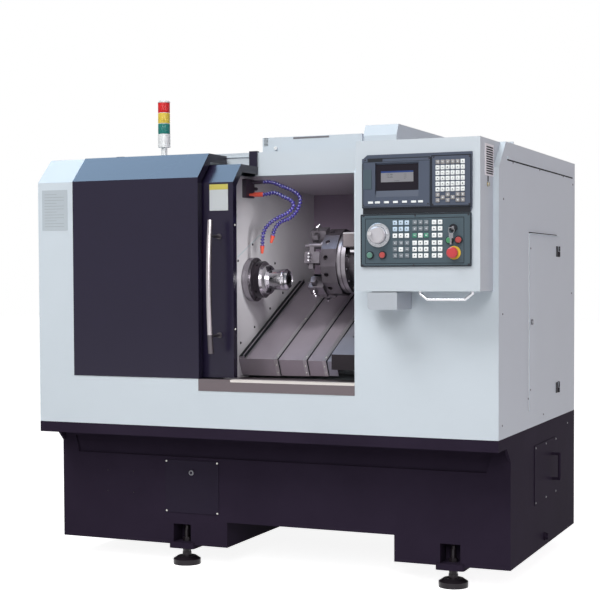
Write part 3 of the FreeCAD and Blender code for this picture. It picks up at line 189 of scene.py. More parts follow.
def second_finish(material, regions, colour, rough, metal):
    """Gives regions of a piece, as pairs of corners in mm, another colour and gloss."""
    tree = material.node_tree
    shader = tree.nodes["Principled BSDF"]
    place = add(tree, "ShaderNodeTexCoord")
    split = add(tree, "ShaderNodeSeparateXYZ")
    link(place, "Object", split, 0)
    mask = None
    for low, high in regions:
        corner, other = at(*low), at(*high)
        inside = between(tree, split.outputs["X"], corner.x, other.x)
        for axis, label in ((1, "Y"), (2, "Z")):
            part = between(tree, split.outputs[label], corner[axis], other[axis])
            inside = joint_of(tree, "MULTIPLY", inside, part)
        mask = inside if mask is None else joint_of(tree, "MAXIMUM", mask, inside)
    tone = add(tree, "ShaderNodeMix", {"data_type": "RGBA"})
    gloss = add(tree, "ShaderNodeMix", {"data_type": "FLOAT"})
    for mix, socket, first, second, value, out in (
            (tone, "Base Color", COLOUR_A, COLOUR_B, (*colour, 1.0), COLOUR_OUT),
            (gloss, "Roughness", VALUE_A, VALUE_B, rough, VALUE_OUT)):
        tree.links.new(mask, mix.inputs[FACTOR])
        tree.links.new(shader.inputs[socket].links[0].from_socket, mix.inputs[first])
        mix.inputs[second].default_value = value
        link(mix, out, shader, socket)
    shine = add(tree, "ShaderNodeMapRange", To_Min=shader.inputs["Metallic"].default_value,
                To_Max=metal)
    tree.links.new(mask, shine.inputs["Value"])
    link(shine, "Result", shader, "Metallic")


print("two finishes on one piece: ready")

# %% [markdown]
# ## Paints and metals of the machine
# The cabinet is powder coated in a pale blue grey, the covers and door in a glossy charcoal
# that mirrors the ceiling light, and the base in a satin black. The way covers are ground
# stainless sheet: the noise is stretched along the grinding so it reads as fine lines.

# %% Name the common skins
TURNED = dict(cloud_scale=30, grain_scale=900, stretch=(1, 0.05, 0.05))
GROUND = dict(cloud=0.14, cloud_scale=5, stretch=(0.03, 1, 1), grain_scale=1200, grain=0.22,
              gloss_spread=0.1)
OILED = dict(grain=0.2, grain_scale=600)
DULL = dict(grain=0.25, grain_scale=500)
PRINT = dict(cloud=0.05, grain=0.05)
CAP = dict(cloud=0.03, grain=0.1)
SHEET = dict(cloud=0.025, grain=0.10)
print("skins named")

# %% Mix the paints
cabinet_paint = finish("cabinet_powder_coat", (0.600, 0.665, 0.720), 0.42, spec=0.22, **SHEET)
cover_paint = finish("glossy_charcoal_paint", (0.013, 0.0095, 0.028), 0.24, cloud=0.10, grain=0.05,
                     grain_scale=400, gloss_spread=0.05, spec=0.27)
base_paint = finish("satin_black_paint", (0.0265, 0.0195, 0.035), cloud=0.25, spec=0.005, **DULL)
hatch_paint = finish("hatch_black_paint", (0.022, 0.017, 0.031), 0.45, cloud=0.15, spec=0.04,
                     **DULL)
inner_paint = finish("liner_grey_paint", (0.69, 0.67, 0.70), 0.38, cloud=0.05, cloud_scale=6)
# The liner of ceiling and rear is painted much darker than the wall: painted shade inside the
# enclosure. A band along the top is painted lighter: less painted shade there.
liner_painted_shade = finish("rear_liner_paint", (0.30, 0.235, 0.31), 0.40, cloud_scale=6, spec=0.3)
second_finish(liner_painted_shade, [((-200, 300, 1587), (1000, 1009, 1640))], (0.62, 0.57, 0.64), 0.4, 0.0)
sill_steel_and_highlight = finish("sill_stainless", (0.135, 0.112, 0.122), 0.34, 0.75, stretch=(0.02, 1, 1),
                    grain_scale=1500, grain=0.2)
# A band along the top of the sill's front is painted pale: a painted highlight on its rounded
# fold.
second_finish(sill_steel_and_highlight, [((-100, -6, 794), (440, 45, 808))], (0.70, 0.66, 0.63), 0.5, 0.0)
way_steel = finish("ground_way_cover", (0.385, 0.34, 0.39), 0.38, 0.55, **GROUND)
apron_steel_and_shade = finish("apron_cover_steel", (0.34, 0.34, 0.40), 0.34, 0.55, spec=0.25, **GROUND)
# The front of the apron is painted near black: painted shade.
second_finish(apron_steel_and_shade, [((200, 150, 820), (900, 171.4, 903.4))], (0.008, 0.004, 0.008), 0.6,
              0.0)

# %% Mix the metals
cast_paint = finish("casting_paint", (0.23, 0.25, 0.27), 0.55, cloud=0.10, grain=0.5,
                    grain_scale=160, depth=0.0008)
bright_steel = finish("turned_bright_steel", (0.66, 0.64, 0.68), 0.17, 1.0, cloud=0.10, grain=0.04,
                      **TURNED)
black_oxide = finish("black_oxide_steel", (0.030, 0.026, 0.034), 0.30, 0.6, cloud=0.3,
                     cloud_scale=40, grain=0.15, grain_scale=800)
flange_steel = finish("spindle_flange_steel", (0.34, 0.32, 0.35), 0.24, 0.9, cloud=0.2, grain=0.05,
                      **TURNED)
nose_steel = finish("nose_flange_steel", (0.030, 0.024, 0.032), 0.26, 0.6, cloud=0.2, grain=0.04,
                    **TURNED)
second_finish(nose_steel, [((-87, 200, 1080), (-60, 430, 1330)),
                           ((-129, 200, 1080), (-124, 430, 1330))], (0.60, 0.58, 0.61), 0.18, 0.95)
turret_steel = finish("turret_housing_dark", (0.060, 0.052, 0.062), 0.34, 0.75, cloud=0.2,
                      cloud_scale=25, **OILED)
second_finish(turret_steel, [((220, 250, 1050), (262.3, 650, 1450))], (0.20, 0.185, 0.205), 0.36,
              0.8)
holder_steel = finish("tool_holder_steel", (0.125, 0.112, 0.130), 0.34, 0.7, cloud=0.5,
                      cloud_scale=30, **OILED)
dark_steel = finish("oiled_tool_steel", (0.055, 0.047, 0.057), 0.36, 0.6, cloud=0.6,
                    cloud_scale=18, **OILED)
zinc = finish("zinc_plated_steel", (0.55, 0.55, 0.52), 0.35, 0.9, cloud=0.12, cloud_scale=60)
foot_steel = finish("foot_dark_steel", (0.016, 0.012, 0.016), 0.35, 0.2, cloud=0.3, cloud_scale=40,
                    spec=0.3)
screw_grey = finish("screw_mid_grey", (0.16, 0.16, 0.18), 0.35, 0.4, cloud=0.1, cloud_scale=60)

# %% Mix the finishes of motors, handles and panels
motor_paint = finish("motor_black_paint", (0.03, 0.03, 0.033), 0.45, cloud=0.15, grain=0.4,
                     grain_scale=250, depth=0.0005)
motor_grey = finish("motor_box_grey", (0.10, 0.085, 0.092), 0.42, cloud=0.1, grain=0.3,
                    grain_scale=300)
rubber = finish("belt_rubber", (0.02, 0.02, 0.021), 0.75, cloud=0.2, grain=0.5, grain_scale=400)
seam_black = finish("seam_shadow_black", (0.02, 0.022, 0.026), 0.8, cloud=0.1, grain=0.2, spec=0.1)
handle_steel_and_shade = finish("door_handle_steel", (0.36, 0.33, 0.35), 0.24, 0.92, cloud=0.10,
                      cloud_scale=12, grain=0.05, grain_scale=900)
# The lower end of the handle and its stand-offs are painted dark: painted shade.
second_finish(handle_steel_and_shade, [((-190, -60, 900), (-150, -10, 984)),
                             ((-190, -26, 960), (-150, 60, 1400))], (0.09, 0.08, 0.09), 0.35, 0.8)
handle_black = finish("hinge_black", (0.022, 0.020, 0.026), cloud=0.2, grain=0.45, grain_scale=900,
                      spec=0.08)
# Brighter than the way covers: a painted highlight along the nosings and the covers' edges.
nosing_and_highlight_steel = finish("cover_nosing_steel", (0.50, 0.48, 0.51), 0.30, 0.75, cloud=0.08,
                      cloud_scale=20)
grab_steel = finish("grab_handle_steel", (0.52, 0.53, 0.56), 0.20, 0.9, cloud=0.05, cloud_scale=20)
# The pod's coat is painted darker than the box: painted shade under the control box.
pod_painted_shade = finish("pod_coat", (0.42, 0.455, 0.50), 0.42, **CAP)
box_paint = finish("control_box_coat", (0.535, 0.590, 0.640), 0.42, **SHEET)
second_finish(box_paint, [((979.3, -116, 1577), (982, 1, 1696))], (0.86, 0.84, 0.87), 0.4, 0.0)
screen_frame = finish("screen_unit_slate", (0.068, 0.084, 0.122), 0.46, grain=0.3,
                      grain_scale=900, spec=0.2)
panel_slate = finish("panel_slate_film", (0.062, 0.092, 0.112), grain=0.25, grain_scale=1200,
                     spec=0.2)
print("finishes mixed:", len(bpy.data.materials))

# %% More finishes for the small pieces
key_white = finish("key_cap_white", (0.80, 0.83, 0.83), 0.42, cloud=0.02, grain=0.1)
key_grey = finish("key_cap_grey", (0.21, 0.20, 0.20), 0.42, **CAP)
key_slate = finish("key_cap_slate", (0.12, 0.145, 0.17), 0.42, **CAP)
key_pale = finish("key_cap_pale_blue", (0.45, 0.58, 0.70), 0.42, cloud=0.02, grain=0.1)
key_green = finish("key_cap_green", (0.022, 0.19, 0.115), 0.42, **CAP)
ink = finish("printed_ink", (0.035, 0.045, 0.055), cloud=0.1, grain=0.05)
faint_ink = finish("faint_printed_ink", (0.28, 0.31, 0.34), cloud=0.1, grain=0.05)
pale_ink = finish("pale_printed_ink", (0.55, 0.62, 0.65), **PRINT)
green_cap = finish("start_button_green", (0.10, 0.235, 0.185), 0.30, **PRINT)
red_cap = finish("hold_button_red", (0.42, 0.06, 0.055), 0.28, grain=0.05)
red_head = finish("stop_head_red", (0.515, 0.038, 0.045), 0.30, grain=0.06)
yellow_ring = finish("stop_plate_yellow", (0.80, 0.52, 0.03), 0.40, cloud=0.04, grain=0.06)
power_green = finish("power_button_green", (0.05, 0.26, 0.11), 0.30, **PRINT)
bezel_black = finish("bezel_glossy_black", (0.018, 0.020, 0.026), 0.2, cloud=0.05, grain=0.02,
                     spec=0.22)
dial_grey = finish("dial_light_grey", (0.45, 0.44, 0.47), 0.34, 0.3, cloud=0.05)
second_finish(dial_grey, [((568, -240, 1358), (592, -219.5, 1384))], (0.62, 0.62, 0.64), 0.12, 1.0)
ring_silver = finish("scale_ring_silver", (0.44, 0.45, 0.48), 0.30, 0.8, cloud=0.04)
key_silver = finish("switch_key_silver", (0.25, 0.25, 0.27), 0.24, 0.95, cloud=0.08, grain=0.1)
brass = finish("lock_brass", (0.26, 0.21, 0.10), 0.34, 0.8, cloud=0.08, grain=0.1)
lamp_white = finish("lamp_base_white", (0.78, 0.79, 0.79), 0.35, cloud=0.02, grain=0.06)
hose_blue = finish("hose_link_blue", (0.036, 0.024, 0.215), 0.11, cloud=0.12, cloud_scale=60,
                   grain=0.03, grain_scale=300, spec=1.0)
nozzle_red = finish("nozzle_orange_red", (0.66, 0.085, 0.050), 0.30, cloud=0.08, cloud_scale=80)
manifold_black = finish("manifold_black", (0.028, 0.018, 0.034), 0.35, cloud=0.2, grain=0.2)
print("finishes mixed:", len(bpy.data.materials))

# %% [markdown]
# ## Hand the finishes to the solids
# A solid keeps its mesh; only its material changes. One table says which piece gets which
# finish, as a paint shop's list would.

# %% Paint list
paint_list = {
    cabinet_paint: ("front_panel", "header_beam", "roof_panel", "left_side_panel",
                    "right_side_panel", "rear_panel", "side_door"),
    cover_paint: ("fixed_cover", "door"),
    base_paint: ("base_frame", "base_side_cover"),
    hatch_paint: ("base_front_cover",),
    inner_paint: ("headstock_wall",),
    liner_painted_shade: ("inner_liner",),
    sill_steel_and_highlight: ("sill_strip", "chip_tray"),
    way_steel: ("way_cover_1", "way_cover_2", "way_cover_3", "way_cover_mid", "way_cover_right"),
    apron_steel_and_shade: ("carriage_cover",),
    cast_paint: ("bed", "headstock", "carriage", "cross_slide"),
    bright_steel: ("nose_sleeve", "collet"),
    flange_steel: ("spindle_shaft",),
    nose_steel: ("chuck_body",),
    turret_steel: ("turret_housing",),
    holder_steel: ("tool_holders",),
    dark_steel: ("turret_disc", "z_drive", "x_drive", "spindle_pulley",
                 "motor_pulley"),
    foot_steel: ("levelling_feet",),
    motor_paint: ("spindle_motor",),
    rubber: ("drive_belt",),
    handle_steel_and_shade: ("door_handle",),
    grab_steel: ("grab_handle",),
    box_paint: ("control_box",),
    pod_painted_shade: ("accessory_pod",),
    screen_frame: ("display_unit", "mdi_keypad"),
    panel_slate: ("operator_panel",),
    green_cap: ("start_button",),
    red_cap: ("hold_button", "power_off_button"),
    power_green: ("power_on_button",),
    red_head: ("estop_button",),
    key_silver: ("switch_key",),
    dial_grey: ("handwheel_dial",),
    lamp_white: ("tower_base", "tower_lenses"),
    manifold_black: ("coolant_manifold",),
    nozzle_red: ("hose_nozzles",),
    hose_blue: ("coolant_hose_upper", "coolant_hose_lower"),
}
for material, names in paint_list.items():
    for name in names:
        solid = nodes[name]
        if not solid.material_slots:
            solid.data.materials.append(material)
        for place in solid.material_slots:
            place.material = material
left_bare = set(nodes) - {name for names in paint_list.values() for name in names}
print("painted", len(nodes) - len(left_bare), "left bare:", sorted(left_bare))

# %% [markdown]
# ## Helpers for the small pieces
# `put` links a mesh, gives it its finish and the body that carries it. `turned` makes what a
# lathe would turn: a profile of radii and heights swept round an axis. `slab` makes a flat
# piece with broken edges. `skin` covers rings of points, one after the other and back to the
# first. All place their points straight in the frame.


# %% Make and place meshes
def put(name, mesh, material, body="machine", smooth=True):
    """Links a mesh as a piece of the machine that rides on a body."""
    piece = shown(name, mesh)
    if material is not None and not mesh.materials:
        mesh.materials.append(material)
    if smooth:
        mesh.shade_smooth()
        mesh.set_sharp_from_angle(angle=math.radians(32))
    if body is not None:
        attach(piece, body)
    return piece


def mesh_of(work, name):
    """Turns a bmesh into a mesh with its faces pointing outwards."""
    bmesh.ops.remove_doubles(work, verts=work.verts, dist=1e-7)
    bmesh.ops.recalc_face_normals(work, faces=work.faces)
    mesh = bpy.data.meshes.new(name)
    work.to_mesh(mesh)
    work.free()
    return mesh


def facing(axis):
    """A turn that lays the local Z axis along a direction."""
    return Vector(axis).to_track_quat("Z", "Y").to_matrix().to_4x4()


# %% Turned pieces
def turned_mesh(name, profile, spot, axis, steps=32):
    """Sweeps (radius, height) pairs in mm round an axis through a point."""
    work = bmesh.new()
    rings = []
    for radius, height in profile:
        ring = []
        for step in range(steps if radius > 0 else 1):
            turn = 2 * math.pi * step / steps
            ring.append(work.verts.new((radius / 1000 * math.cos(turn),
                                        radius / 1000 * math.sin(turn), height / 1000)))
        rings.append(ring)
    for low, high in zip(rings[:-1], rings[1:]):
        for step in range(steps):
            after = (step + 1) % steps
            corners = [low[step % len(low)], low[after % len(low)],
                       high[after % len(high)], high[step % len(high)]]
            corners = list(dict.fromkeys(corners))
            if len(corners) > 2:
                work.faces.new(corners)
    for ring, radius in ((rings[0], profile[0][0]), (rings[-1], profile[-1][0])):
        if radius > 0 and profile[0] != profile[-1]:
            work.faces.new(ring)
    work.transform(Matrix.Translation(spot) @ facing(axis))
    return mesh_of(work, name)


def turned(name, profile, spot, axis, material, body="machine", steps=32):
    """A turned piece, placed on its body."""
    return put(name, turned_mesh(name, profile, spot, axis, steps), material, body)


def cap_ring(hole, floor, top, face, outer, shoulder, foot, wall):
    """The profile of a hollow ring with a chamfered rim: radii and heights in mm."""
    return [(hole, floor), (hole, top), (face, top), (outer, shoulder), (outer, foot),
            (wall, foot), (wall, floor), (hole, floor)]


# %% Flat pieces and skins
def block(name, placed, material, body, edge):
    """A unit cube, placed and scaled by a matrix, with its edges bevelled by edge mm."""
    work = bmesh.new()
    bmesh.ops.create_cube(work, size=1.0)
    work.transform(placed)
    bmesh.ops.bevel(work, geom=work.edges[:], offset=edge / 1000, segments=2, affect="EDGES",
                    clamp_overlap=True)
    return put(name, mesh_of(work, name), material, body)


def slab(name, low, high, material, body="machine", edge=1.0):
    """A flat block between two corners in mm."""
    first, second = at(*low), at(*high)
    placed = Matrix.Translation((first + second) / 2) @ Matrix.Diagonal((*(second - first), 1))
    return block(name, placed, material, body, edge)


def skin(work, rings):
    """Faces from each ring of points to the next, and from the last to the first."""
    for ring, after in zip(rings, rings[1:] + rings[:1]):
        for step in range(len(ring)):
            beside = (step + 1) % len(ring)
            work.faces.new((ring[step], ring[beside], after[beside], after[step]))


print("helpers ready")

# %% [markdown]
# ## Pieces that lie on the slope
# The bed leans back by 26 degrees, so everything on it is placed along X, up the slope and
# square to it, counted from the spindle axis.

# %% Place things on the slope
SLOPE = math.radians(26.0)
SPINDLE = (315, 1203)       # the spindle axis, (y, z) in mm


def on_slope(x, up, out):
    """A point in mm: along X, up the slope and square to it."""
    return at(x, SPINDLE[0] + up * math.cos(SLOPE) - out * math.sin(SLOPE),
              SPINDLE[1] + up * math.sin(SLOPE) + out * math.cos(SLOPE))


def slope_slab(name, low, high, material, body="machine", edge=0.4):
    """A flat block on the slope between two corners."""
    size = [(b - a) / 1000 for a, b in zip(low, high)]
    middle = [(a + b) / 2 for a, b in zip(low, high)]
    placed = (Matrix.Translation(on_slope(*middle)) @ Matrix.Rotation(SLOPE, 4, "X")
              @ Matrix.Diagonal((*size, 1)))
    return block(name, placed, material, body, edge)


def plate_between(name, x, start, end, width, thick, material):
    """A thin strip on a wall facing right, from one (y, z) point in mm to another."""
    run = Vector((end[0] - start[0], end[1] - start[1]))
    side = Vector((-run.y, run.x)).normalized() * width / 2
    work = bmesh.new()
    rings = []
    for level in (x, x + thick):
        ring = []
        for (y, z), sign in ((start, 1), (start, -1), (end, -1), (end, 1)):
            ring.append(work.verts.new(at(level, y + side.x * sign, z + side.y * sign)))
        work.faces.new(ring)
        rings.append(ring)
    for step in range(4):
        after = (step + 1) % 4
        work.faces.new((rings[0][step], rings[0][after], rings[1][after], rings[1][step]))
    return put(name, mesh_of(work, name), material, smooth=False)


print("slope starts at", [round(v, 3) for v in on_slope(0, 0, 0)])

# %% [markdown]
# ## A tree that sets one shape at many places
# Screws and key caps repeat. The points say where they sit, and each point carries the
# direction it faces. The tree turns an instance of the shape to that direction, makes it
# real, and gives it its finish, so that the result is one plain mesh.


# %% Build the placing tree
def new_tree(name, inputs):
    """An empty Geometry Nodes tree with named inputs."""
    tree = bpy.data.node_groups.new(name, "GeometryNodeTree")
    tree.interface.new_socket(name="Geometry", in_out="INPUT", socket_type="NodeSocketGeometry")
    for label, kind in inputs:
        tree.interface.new_socket(name=label, in_out="INPUT", socket_type="NodeSocket" + kind)
    tree.interface.new_socket(name="Geometry", in_out="OUTPUT", socket_type="NodeSocketGeometry")
    return tree, tree.nodes.new("NodeGroupInput"), tree.nodes.new("NodeGroupOutput")


def end_tree(tree, start, end, geometry):
    """Realizes the instances and sets the finish, the last two steps of every tree."""
    real = add(tree, "GeometryNodeRealizeInstances")
    coat = add(tree, "GeometryNodeSetMaterial")
    tree.links.new(geometry, real.inputs["Geometry"])
    link(real, "Geometry", coat, "Geometry")
    link(start, "Finish", coat, "Material")
    link(coat, "Geometry", end, "Geometry")


def turn_to_facing(tree, points, shape):
    """Instances a shape on points, turned so that it faces where each point says."""
    heading = add(tree, "GeometryNodeInputNamedAttribute", {"data_type": "FLOAT_VECTOR"})
    heading.inputs["Name"].default_value = "facing"
    turn = add(tree, "FunctionNodeAlignRotationToVector", {"axis": "Z"})
    link(heading, "Attribute", turn, "Vector")
    setter = add(tree, "GeometryNodeInstanceOnPoints")
    tree.links.new(points, setter.inputs["Points"])
    tree.links.new(shape, setter.inputs["Instance"])
    link(turn, "Rotation", setter, "Rotation")
    return setter.outputs["Instances"]

# %% Build the screw tree
screw_tree, start, end = new_tree("socket_screws", (("Radius", "Float"), ("Height", "Float"),
                                                    ("Sides", "Int"), ("Finish", "Material")))
head = add(screw_tree, "GeometryNodeMeshCone")
for socket, source, share in (("Radius Top", "Radius", 0.72), ("Radius Bottom", "Radius", 1.0),
                              ("Depth", "Height", 1.0)):
    scaled = calculate(screw_tree, "MULTIPLY", share)
    link(start, source, scaled, 0)
    link(scaled, 0, head, socket)
rim = add(screw_tree, "GeometryNodeExtrudeMesh", {"mode": "FACES"}, Offset_Scale=0.0)
link(head, "Mesh", rim, "Mesh")
link(head, "Top", rim, "Selection")
inner = add(screw_tree, "GeometryNodeScaleElements", Scale=0.62)
link(rim, "Mesh", inner, "Geometry")
link(rim, "Top", inner, "Selection")
sunk = calculate(screw_tree, "MULTIPLY", -0.55)
link(start, "Height", sunk, 0)
socket_hole = add(screw_tree, "GeometryNodeExtrudeMesh", {"mode": "FACES"})
link(inner, "Geometry", socket_hole, "Mesh")
link(rim, "Top", socket_hole, "Selection")
link(sunk, 0, socket_hole, "Offset Scale")
link(start, "Sides", head, "Vertices")
heads = turn_to_facing(screw_tree, start.outputs["Geometry"], socket_hole.outputs["Mesh"])
end_tree(screw_tree, start, end, heads)
print("screw tree nodes:", len(screw_tree.nodes))

# %% [markdown]
# ## Grow a tree into a plain mesh
# The tree runs once on a small mesh of points. Its result is copied out as a plain mesh, and
# the points go, because only plain meshes are kept with the part.


# %% Grow and keep
def points_mesh(name, spots):
    """A mesh of loose points; spots are (place in metres, direction)."""
    mesh = bpy.data.meshes.new(name)
    mesh.from_pydata([tuple(place) for place, direction in spots], [], [])
    layer = mesh.attributes.new("facing", "FLOAT_VECTOR", "POINT")
    for index, (place, direction) in enumerate(spots):
        layer.data[index].vector = direction
    return mesh


def grown(name, data, tree, values, body="machine"):
    """Runs a tree on a seed mesh or curve and keeps the result as a plain piece."""
    seed = shown(name + "_seed", data)
    modifier = seed.modifiers.new("tree", "NODES")
    modifier.node_group = tree
    for item in tree.interface.items_tree:
        if item.item_type == "SOCKET" and item.in_out == "INPUT" and item.name in values:
            modifier[item.identifier] = values[item.name]
    graph = bpy.context.evaluated_depsgraph_get()
    mesh = bpy.data.meshes.new_from_object(seed.evaluated_get(graph))
    mesh.name = name
    seed.modifiers.remove(modifier)
    bpy.data.objects.remove(seed)
    if "facing" in mesh.attributes:
        mesh.attributes.remove(mesh.attributes["facing"])
    piece = put(name, mesh, None, body)
    print(name, "faces:", len(mesh.polygons))
    return piece

# %% Set screws
FRONT, REAR = (0.0, -1.0, 0.0), (0.0, 1.0, 0.0)
LEFT, RIGHT = (-1.0, 0.0, 0.0), (1.0, 0.0, 0.0)


SUNK = 0.0002               # how deep a screw sits in its face, in metres


def screws_at(name, spots, radius, height, material, body="machine", sides=14):
    """A set of socket screws at (place in metres, direction)."""
    values = {"Radius": radius / 1000, "Height": height / 1000, "Sides": sides,
              "Finish": material}
    return grown(name, points_mesh(name, spots), screw_tree, values, body)


def screws(name, places, direction, *rest, **more):
    """A set of socket screws at places in mm, seated on the face they touch."""
    spots = [(at(*place) - Vector(direction) * SUNK, direction) for place in places]
    return screws_at(name, spots, *rest, **more)


# %% [markdown]
# ## Screws of the sheets
# The side sheet hangs on button-head screws near its edges, the wall round the spindle on
# black ones, and the panels on small black ones in their corners.

# %% Fit the screws
UNIT_Y, PANEL_Y = -186, -182    # faces of the screen unit and of the operator panel
rear_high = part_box("rear_panel")[1]
REAR_Y = (rear_high.y - FACE_Y) * 1000
top_row = ((202, 1644), (627, 1645), (1052, 1645), (1247, 1621))
side_row = ((64, 1500), (55, 1073), (1227, 1135), (443, 726), (52, 657), (1150, 560), (700, 640))
left_row = ((75, 1450), (75, 1073), (1227, 1135), (75, 657), (700, 640), (1227, 657))
wall_row = ((336, 1351), (564, 1273), (194, 1281), (647, 1143), (510, 1077), (350, 1002),
            (215, 941))
unit_row = ((546.5, 1641.0), (540.2, 1475.5), (793, 1639.9), (787.9, 1476.9), (809.9, 1642.6),
            (942.7, 1642.4), (806.4, 1473.4), (942.9, 1472.5))
panel_row = ((539, 1436.7), (738, 1435), (938, 1435), (535, 1256.6), (732, 1256), (940, 1257.4))


def on_side(x, spots):
    """Places on an upright sheet that faces left or right."""
    return [(x, y, z) for y, z in spots]


def on_front(y, spots):
    """Places on an upright sheet that faces the front or the rear."""
    return [(x, y, z) for x, z in spots]


def lattice(first, second):
    """Every pair of the two rows of numbers."""
    return [(a, b) for a in first for b in second]


screws("side_sheet_screws", on_side(1000, top_row + side_row), RIGHT, 4.5, 2.4, screw_grey)
screws("left_sheet_screws", on_side(-1000, top_row + left_row), LEFT, 4.5, 0.3, screw_grey)
screws("rear_sheet_screws", on_front(REAR_Y, lattice((-900, -300, 300, 900), (560, 1100, 1660))),
       REAR, 4.5, 2.4, screw_grey)
screws("wall_screws", on_side(-157, wall_row), RIGHT, 6.0, 3.0, black_oxide)
screws("screen_unit_screws", on_front(UNIT_Y, unit_row), FRONT, 3.3, 1.6, black_oxide, sides=12)
screws("operator_panel_screws", on_front(PANEL_Y, panel_row), FRONT, 3.5, 1.6, black_oxide,
       sides=12)
screws("base_hatch_screws", on_front(172, lattice((-487, -248), (229, 439))), FRONT, 4.6, 2.2,
       zinc)
screws("base_blind_screws", on_front(175, lattice((-775, -648), (296, 386))), FRONT, 3.2, 1.4,
       foot_steel, sides=12)
screws("base_side_hatch_screws", on_side(1003, lattice((560, 737, 915), (291, 515))), RIGHT, 4.6,
       2.2, screw_grey)
turned("hatch_lock_face", cap_ring(6.2, 0, 0.5, 10.4, 11.3, -0.4, -5.6, 11.05), at(-367, 166, 394),
       FRONT, screw_grey)
screws("door_edge_screws", [(-105, 60, 1424), (-105, 60, 1004)], RIGHT, 5.0, 2.6, zinc,
       "sliding_door")

# %% [markdown]
# ## Seams, hinges and the vent
# Where two sheets meet on the right side there is a dark gap: under the top rail and over
# the narrow side door, and a pale strip down the side door's left edge is a painted highlight.
# The hinges are black leaves; the vent slots get a dark sheet of painted shade behind them,
# with a strip of painted shade under each.

# %% Right side details
slab("rail_seam", (999.8, 118.5, 1646.8), (1000.7, 1241.5, 1652.2), seam_black, edge=0.2)
slab("side_door_seam", (999.8, 449, 1383.4), (1000.9, 935.5, 1388.4), seam_black, edge=0.2)
# A pale strip down the side door's left edge: a painted highlight on the seam.
slab("side_door_light_edge", (999.8, 446.6, 674), (1000.8, 449.4, 1383), lamp_white, edge=0.2)
for label, z in (("upper", 1317.0), ("lower", 735.0)):
    slab("hinge_leaf_fixed_" + label, (1000.4, 952.2, z - 22.4), (1003.5, 985.4, z + 22.4),
         handle_black, edge=0.5)
    slab("hinge_leaf_free_" + label, (1004.4, 904.6, z - 22.4), (1007.5, 937.8, z + 22.4),
         handle_black, "access_door", 0.5)
    for end, foot, body in (("_fixed", -22.1, "machine"), ("_free", 0.8, "access_door")):
        turned("hinge_barrel_" + label + end,
               [(6.55, 0), (6.9, 0.3), (6.9, 20.9), (6.55, 21.2), (6.55, 0)],
               at(1006.5, 945, z + foot), (0, 0, 1), handle_black, body, 24)
    screws("hinge_screws_" + label, on_side(1003.5, lattice((968,), (z - 12, z + 12))), RIGHT, 3.6,
           1.6, screw_grey, sides=12)
# A dark sheet behind the slots and a dark strip under each slot: painted shade.
slab("vent_darkness", (978.9, -97.4, 1584.6), (979.5, -6.6, 1686.6), seam_black, edge=0.1)
for row in range(12):
    z = 1584.7 + 8.6 * row
    slab("vent_shade_" + str(row + 1), (980.9, -98, z), (981.2, -6, z + 1.4), seam_black,
         edge=0.05)
slab("box_lock_guide", (978.9, -76.5, 1558), (981.2, -69.5, 1577), seam_black, edge=0.4)
turned("box_lock_face", [(0, 6.4), (7.2, 6.4), (8.6, 5.4), (9.2, 3.0), (9.2, 0.0), (8.8, 0.0),
                         (8.8, 3.0), (0, 6.0)], at(979, -73, 1548), RIGHT, brass, steps=28)
turned("side_door_lock_face", cap_ring(5.8, 7.1, 7.4, 10.2, 11.3, 6.4, 1.2, 11.05),
       at(1003, 480, 1030), RIGHT, screw_grey, "access_door")
screws("side_door_screws", on_side(1004, ((463, 1323), (463, 760))), RIGHT, 4.5, 2.4, screw_grey,
       "access_door")
turned("riser_knob", [(0, 9), (6.4, 9), (7.6, 7.8), (7.6, 3), (5.6, 2.2), (5.6, -0.2)],
       at(-63, 374, 1754), FRONT, lamp_white, steps=24)
slab("riser_edge_strip", (16, 373.0, 1789.8), (178, 374.2, 1797.6), screw_grey, edge=0.3)

# %% [markdown]
# ## Spindle nose
# Three socket-head screws sit in pockets of the nose flange, and a radial hole in the sleeve
# is drawn as a dark disc of painted shade.


# %% Nose screws and hole
def around(centre, radius, degrees):
    """(y, z) in mm of a point on a circle that faces right."""
    turn = math.radians(degrees)
    return centre[0] + radius * math.cos(turn), centre[1] + radius * math.sin(turn)


for index in range(3):
    turned("nose_screw_" + str(index + 1),
           [(0, 8.6), (5.6, 8.6), (5.6, 16), (10.9, 16), (11.9, 15), (11.9, 0.3), (0, 0.3)],
           at(-70, *around(SPINDLE, 50.5, 120 * index)), RIGHT, black_oxide, "spindle", 24)
turned("sleeve_hole_darkness", [(0, 0), (0, 1.2), (4.3, 1.2), (4.3, 0), (0, 0)],
       at(-43, SPINDLE[0] - 37, SPINDLE[1] + 5), FRONT, seam_black, "spindle", 16)

# %% [markdown]
# ## Turret details
# The drive motor's box is a grey casting with a bright edge, a bright locking cylinder
# stands between it and the ring, and each block holder shows three clamping screws.

# %% Motor box, cylinder and clamping screws
TURRET = (458.8, 1273.1)    # the turret axis, (y, z) in mm
slab("turret_motor_cladding", (263.6, 304.4, 1333.4), (520.6, 385.6, 1393.4), motor_grey, "cross",
     3.5)
slab("turret_motor_edge", (266, 303.9, 1388.6), (518, 307.6, 1393.8), bright_steel, "cross", 0.8)
turned("turret_lock_cylinder", [(0, 48), (9.6, 48), (11, 46.6), (11, 0)], at(285, 345, 1321),
       RIGHT, bright_steel, "cross", 28)
turned("turret_ring_groove", [(126.2, 0), (128.3, 0.3), (128.3, 5.0), (126.2, 5.3), (126.2, 0)],
       at(240, *TURRET), RIGHT, dark_steel, "cross", 96)
screws("turret_ring_screws", on_side(262.1, [around(TURRET, 110, 15 + 30 * k) for k in range(12)]),
       RIGHT, 6.5, 5.0, black_oxide, "cross")
clamp_spots = []
for step in range(1, 12, 2):
    turn = math.radians(22 + 30 * step)
    outwards = (0.0, math.cos(turn), math.sin(turn))
    for sideways in (-14, 0, 14):
        y, z = around(TURRET, 164.8, 22 + 30 * step)
        spot = at(118, y + sideways * math.sin(turn), z - sideways * math.cos(turn))
        clamp_spots.append((spot, outwards))
screws_at("holder_clamp_screws", clamp_spots, 6.2, 4.0, bright_steel, "turret")
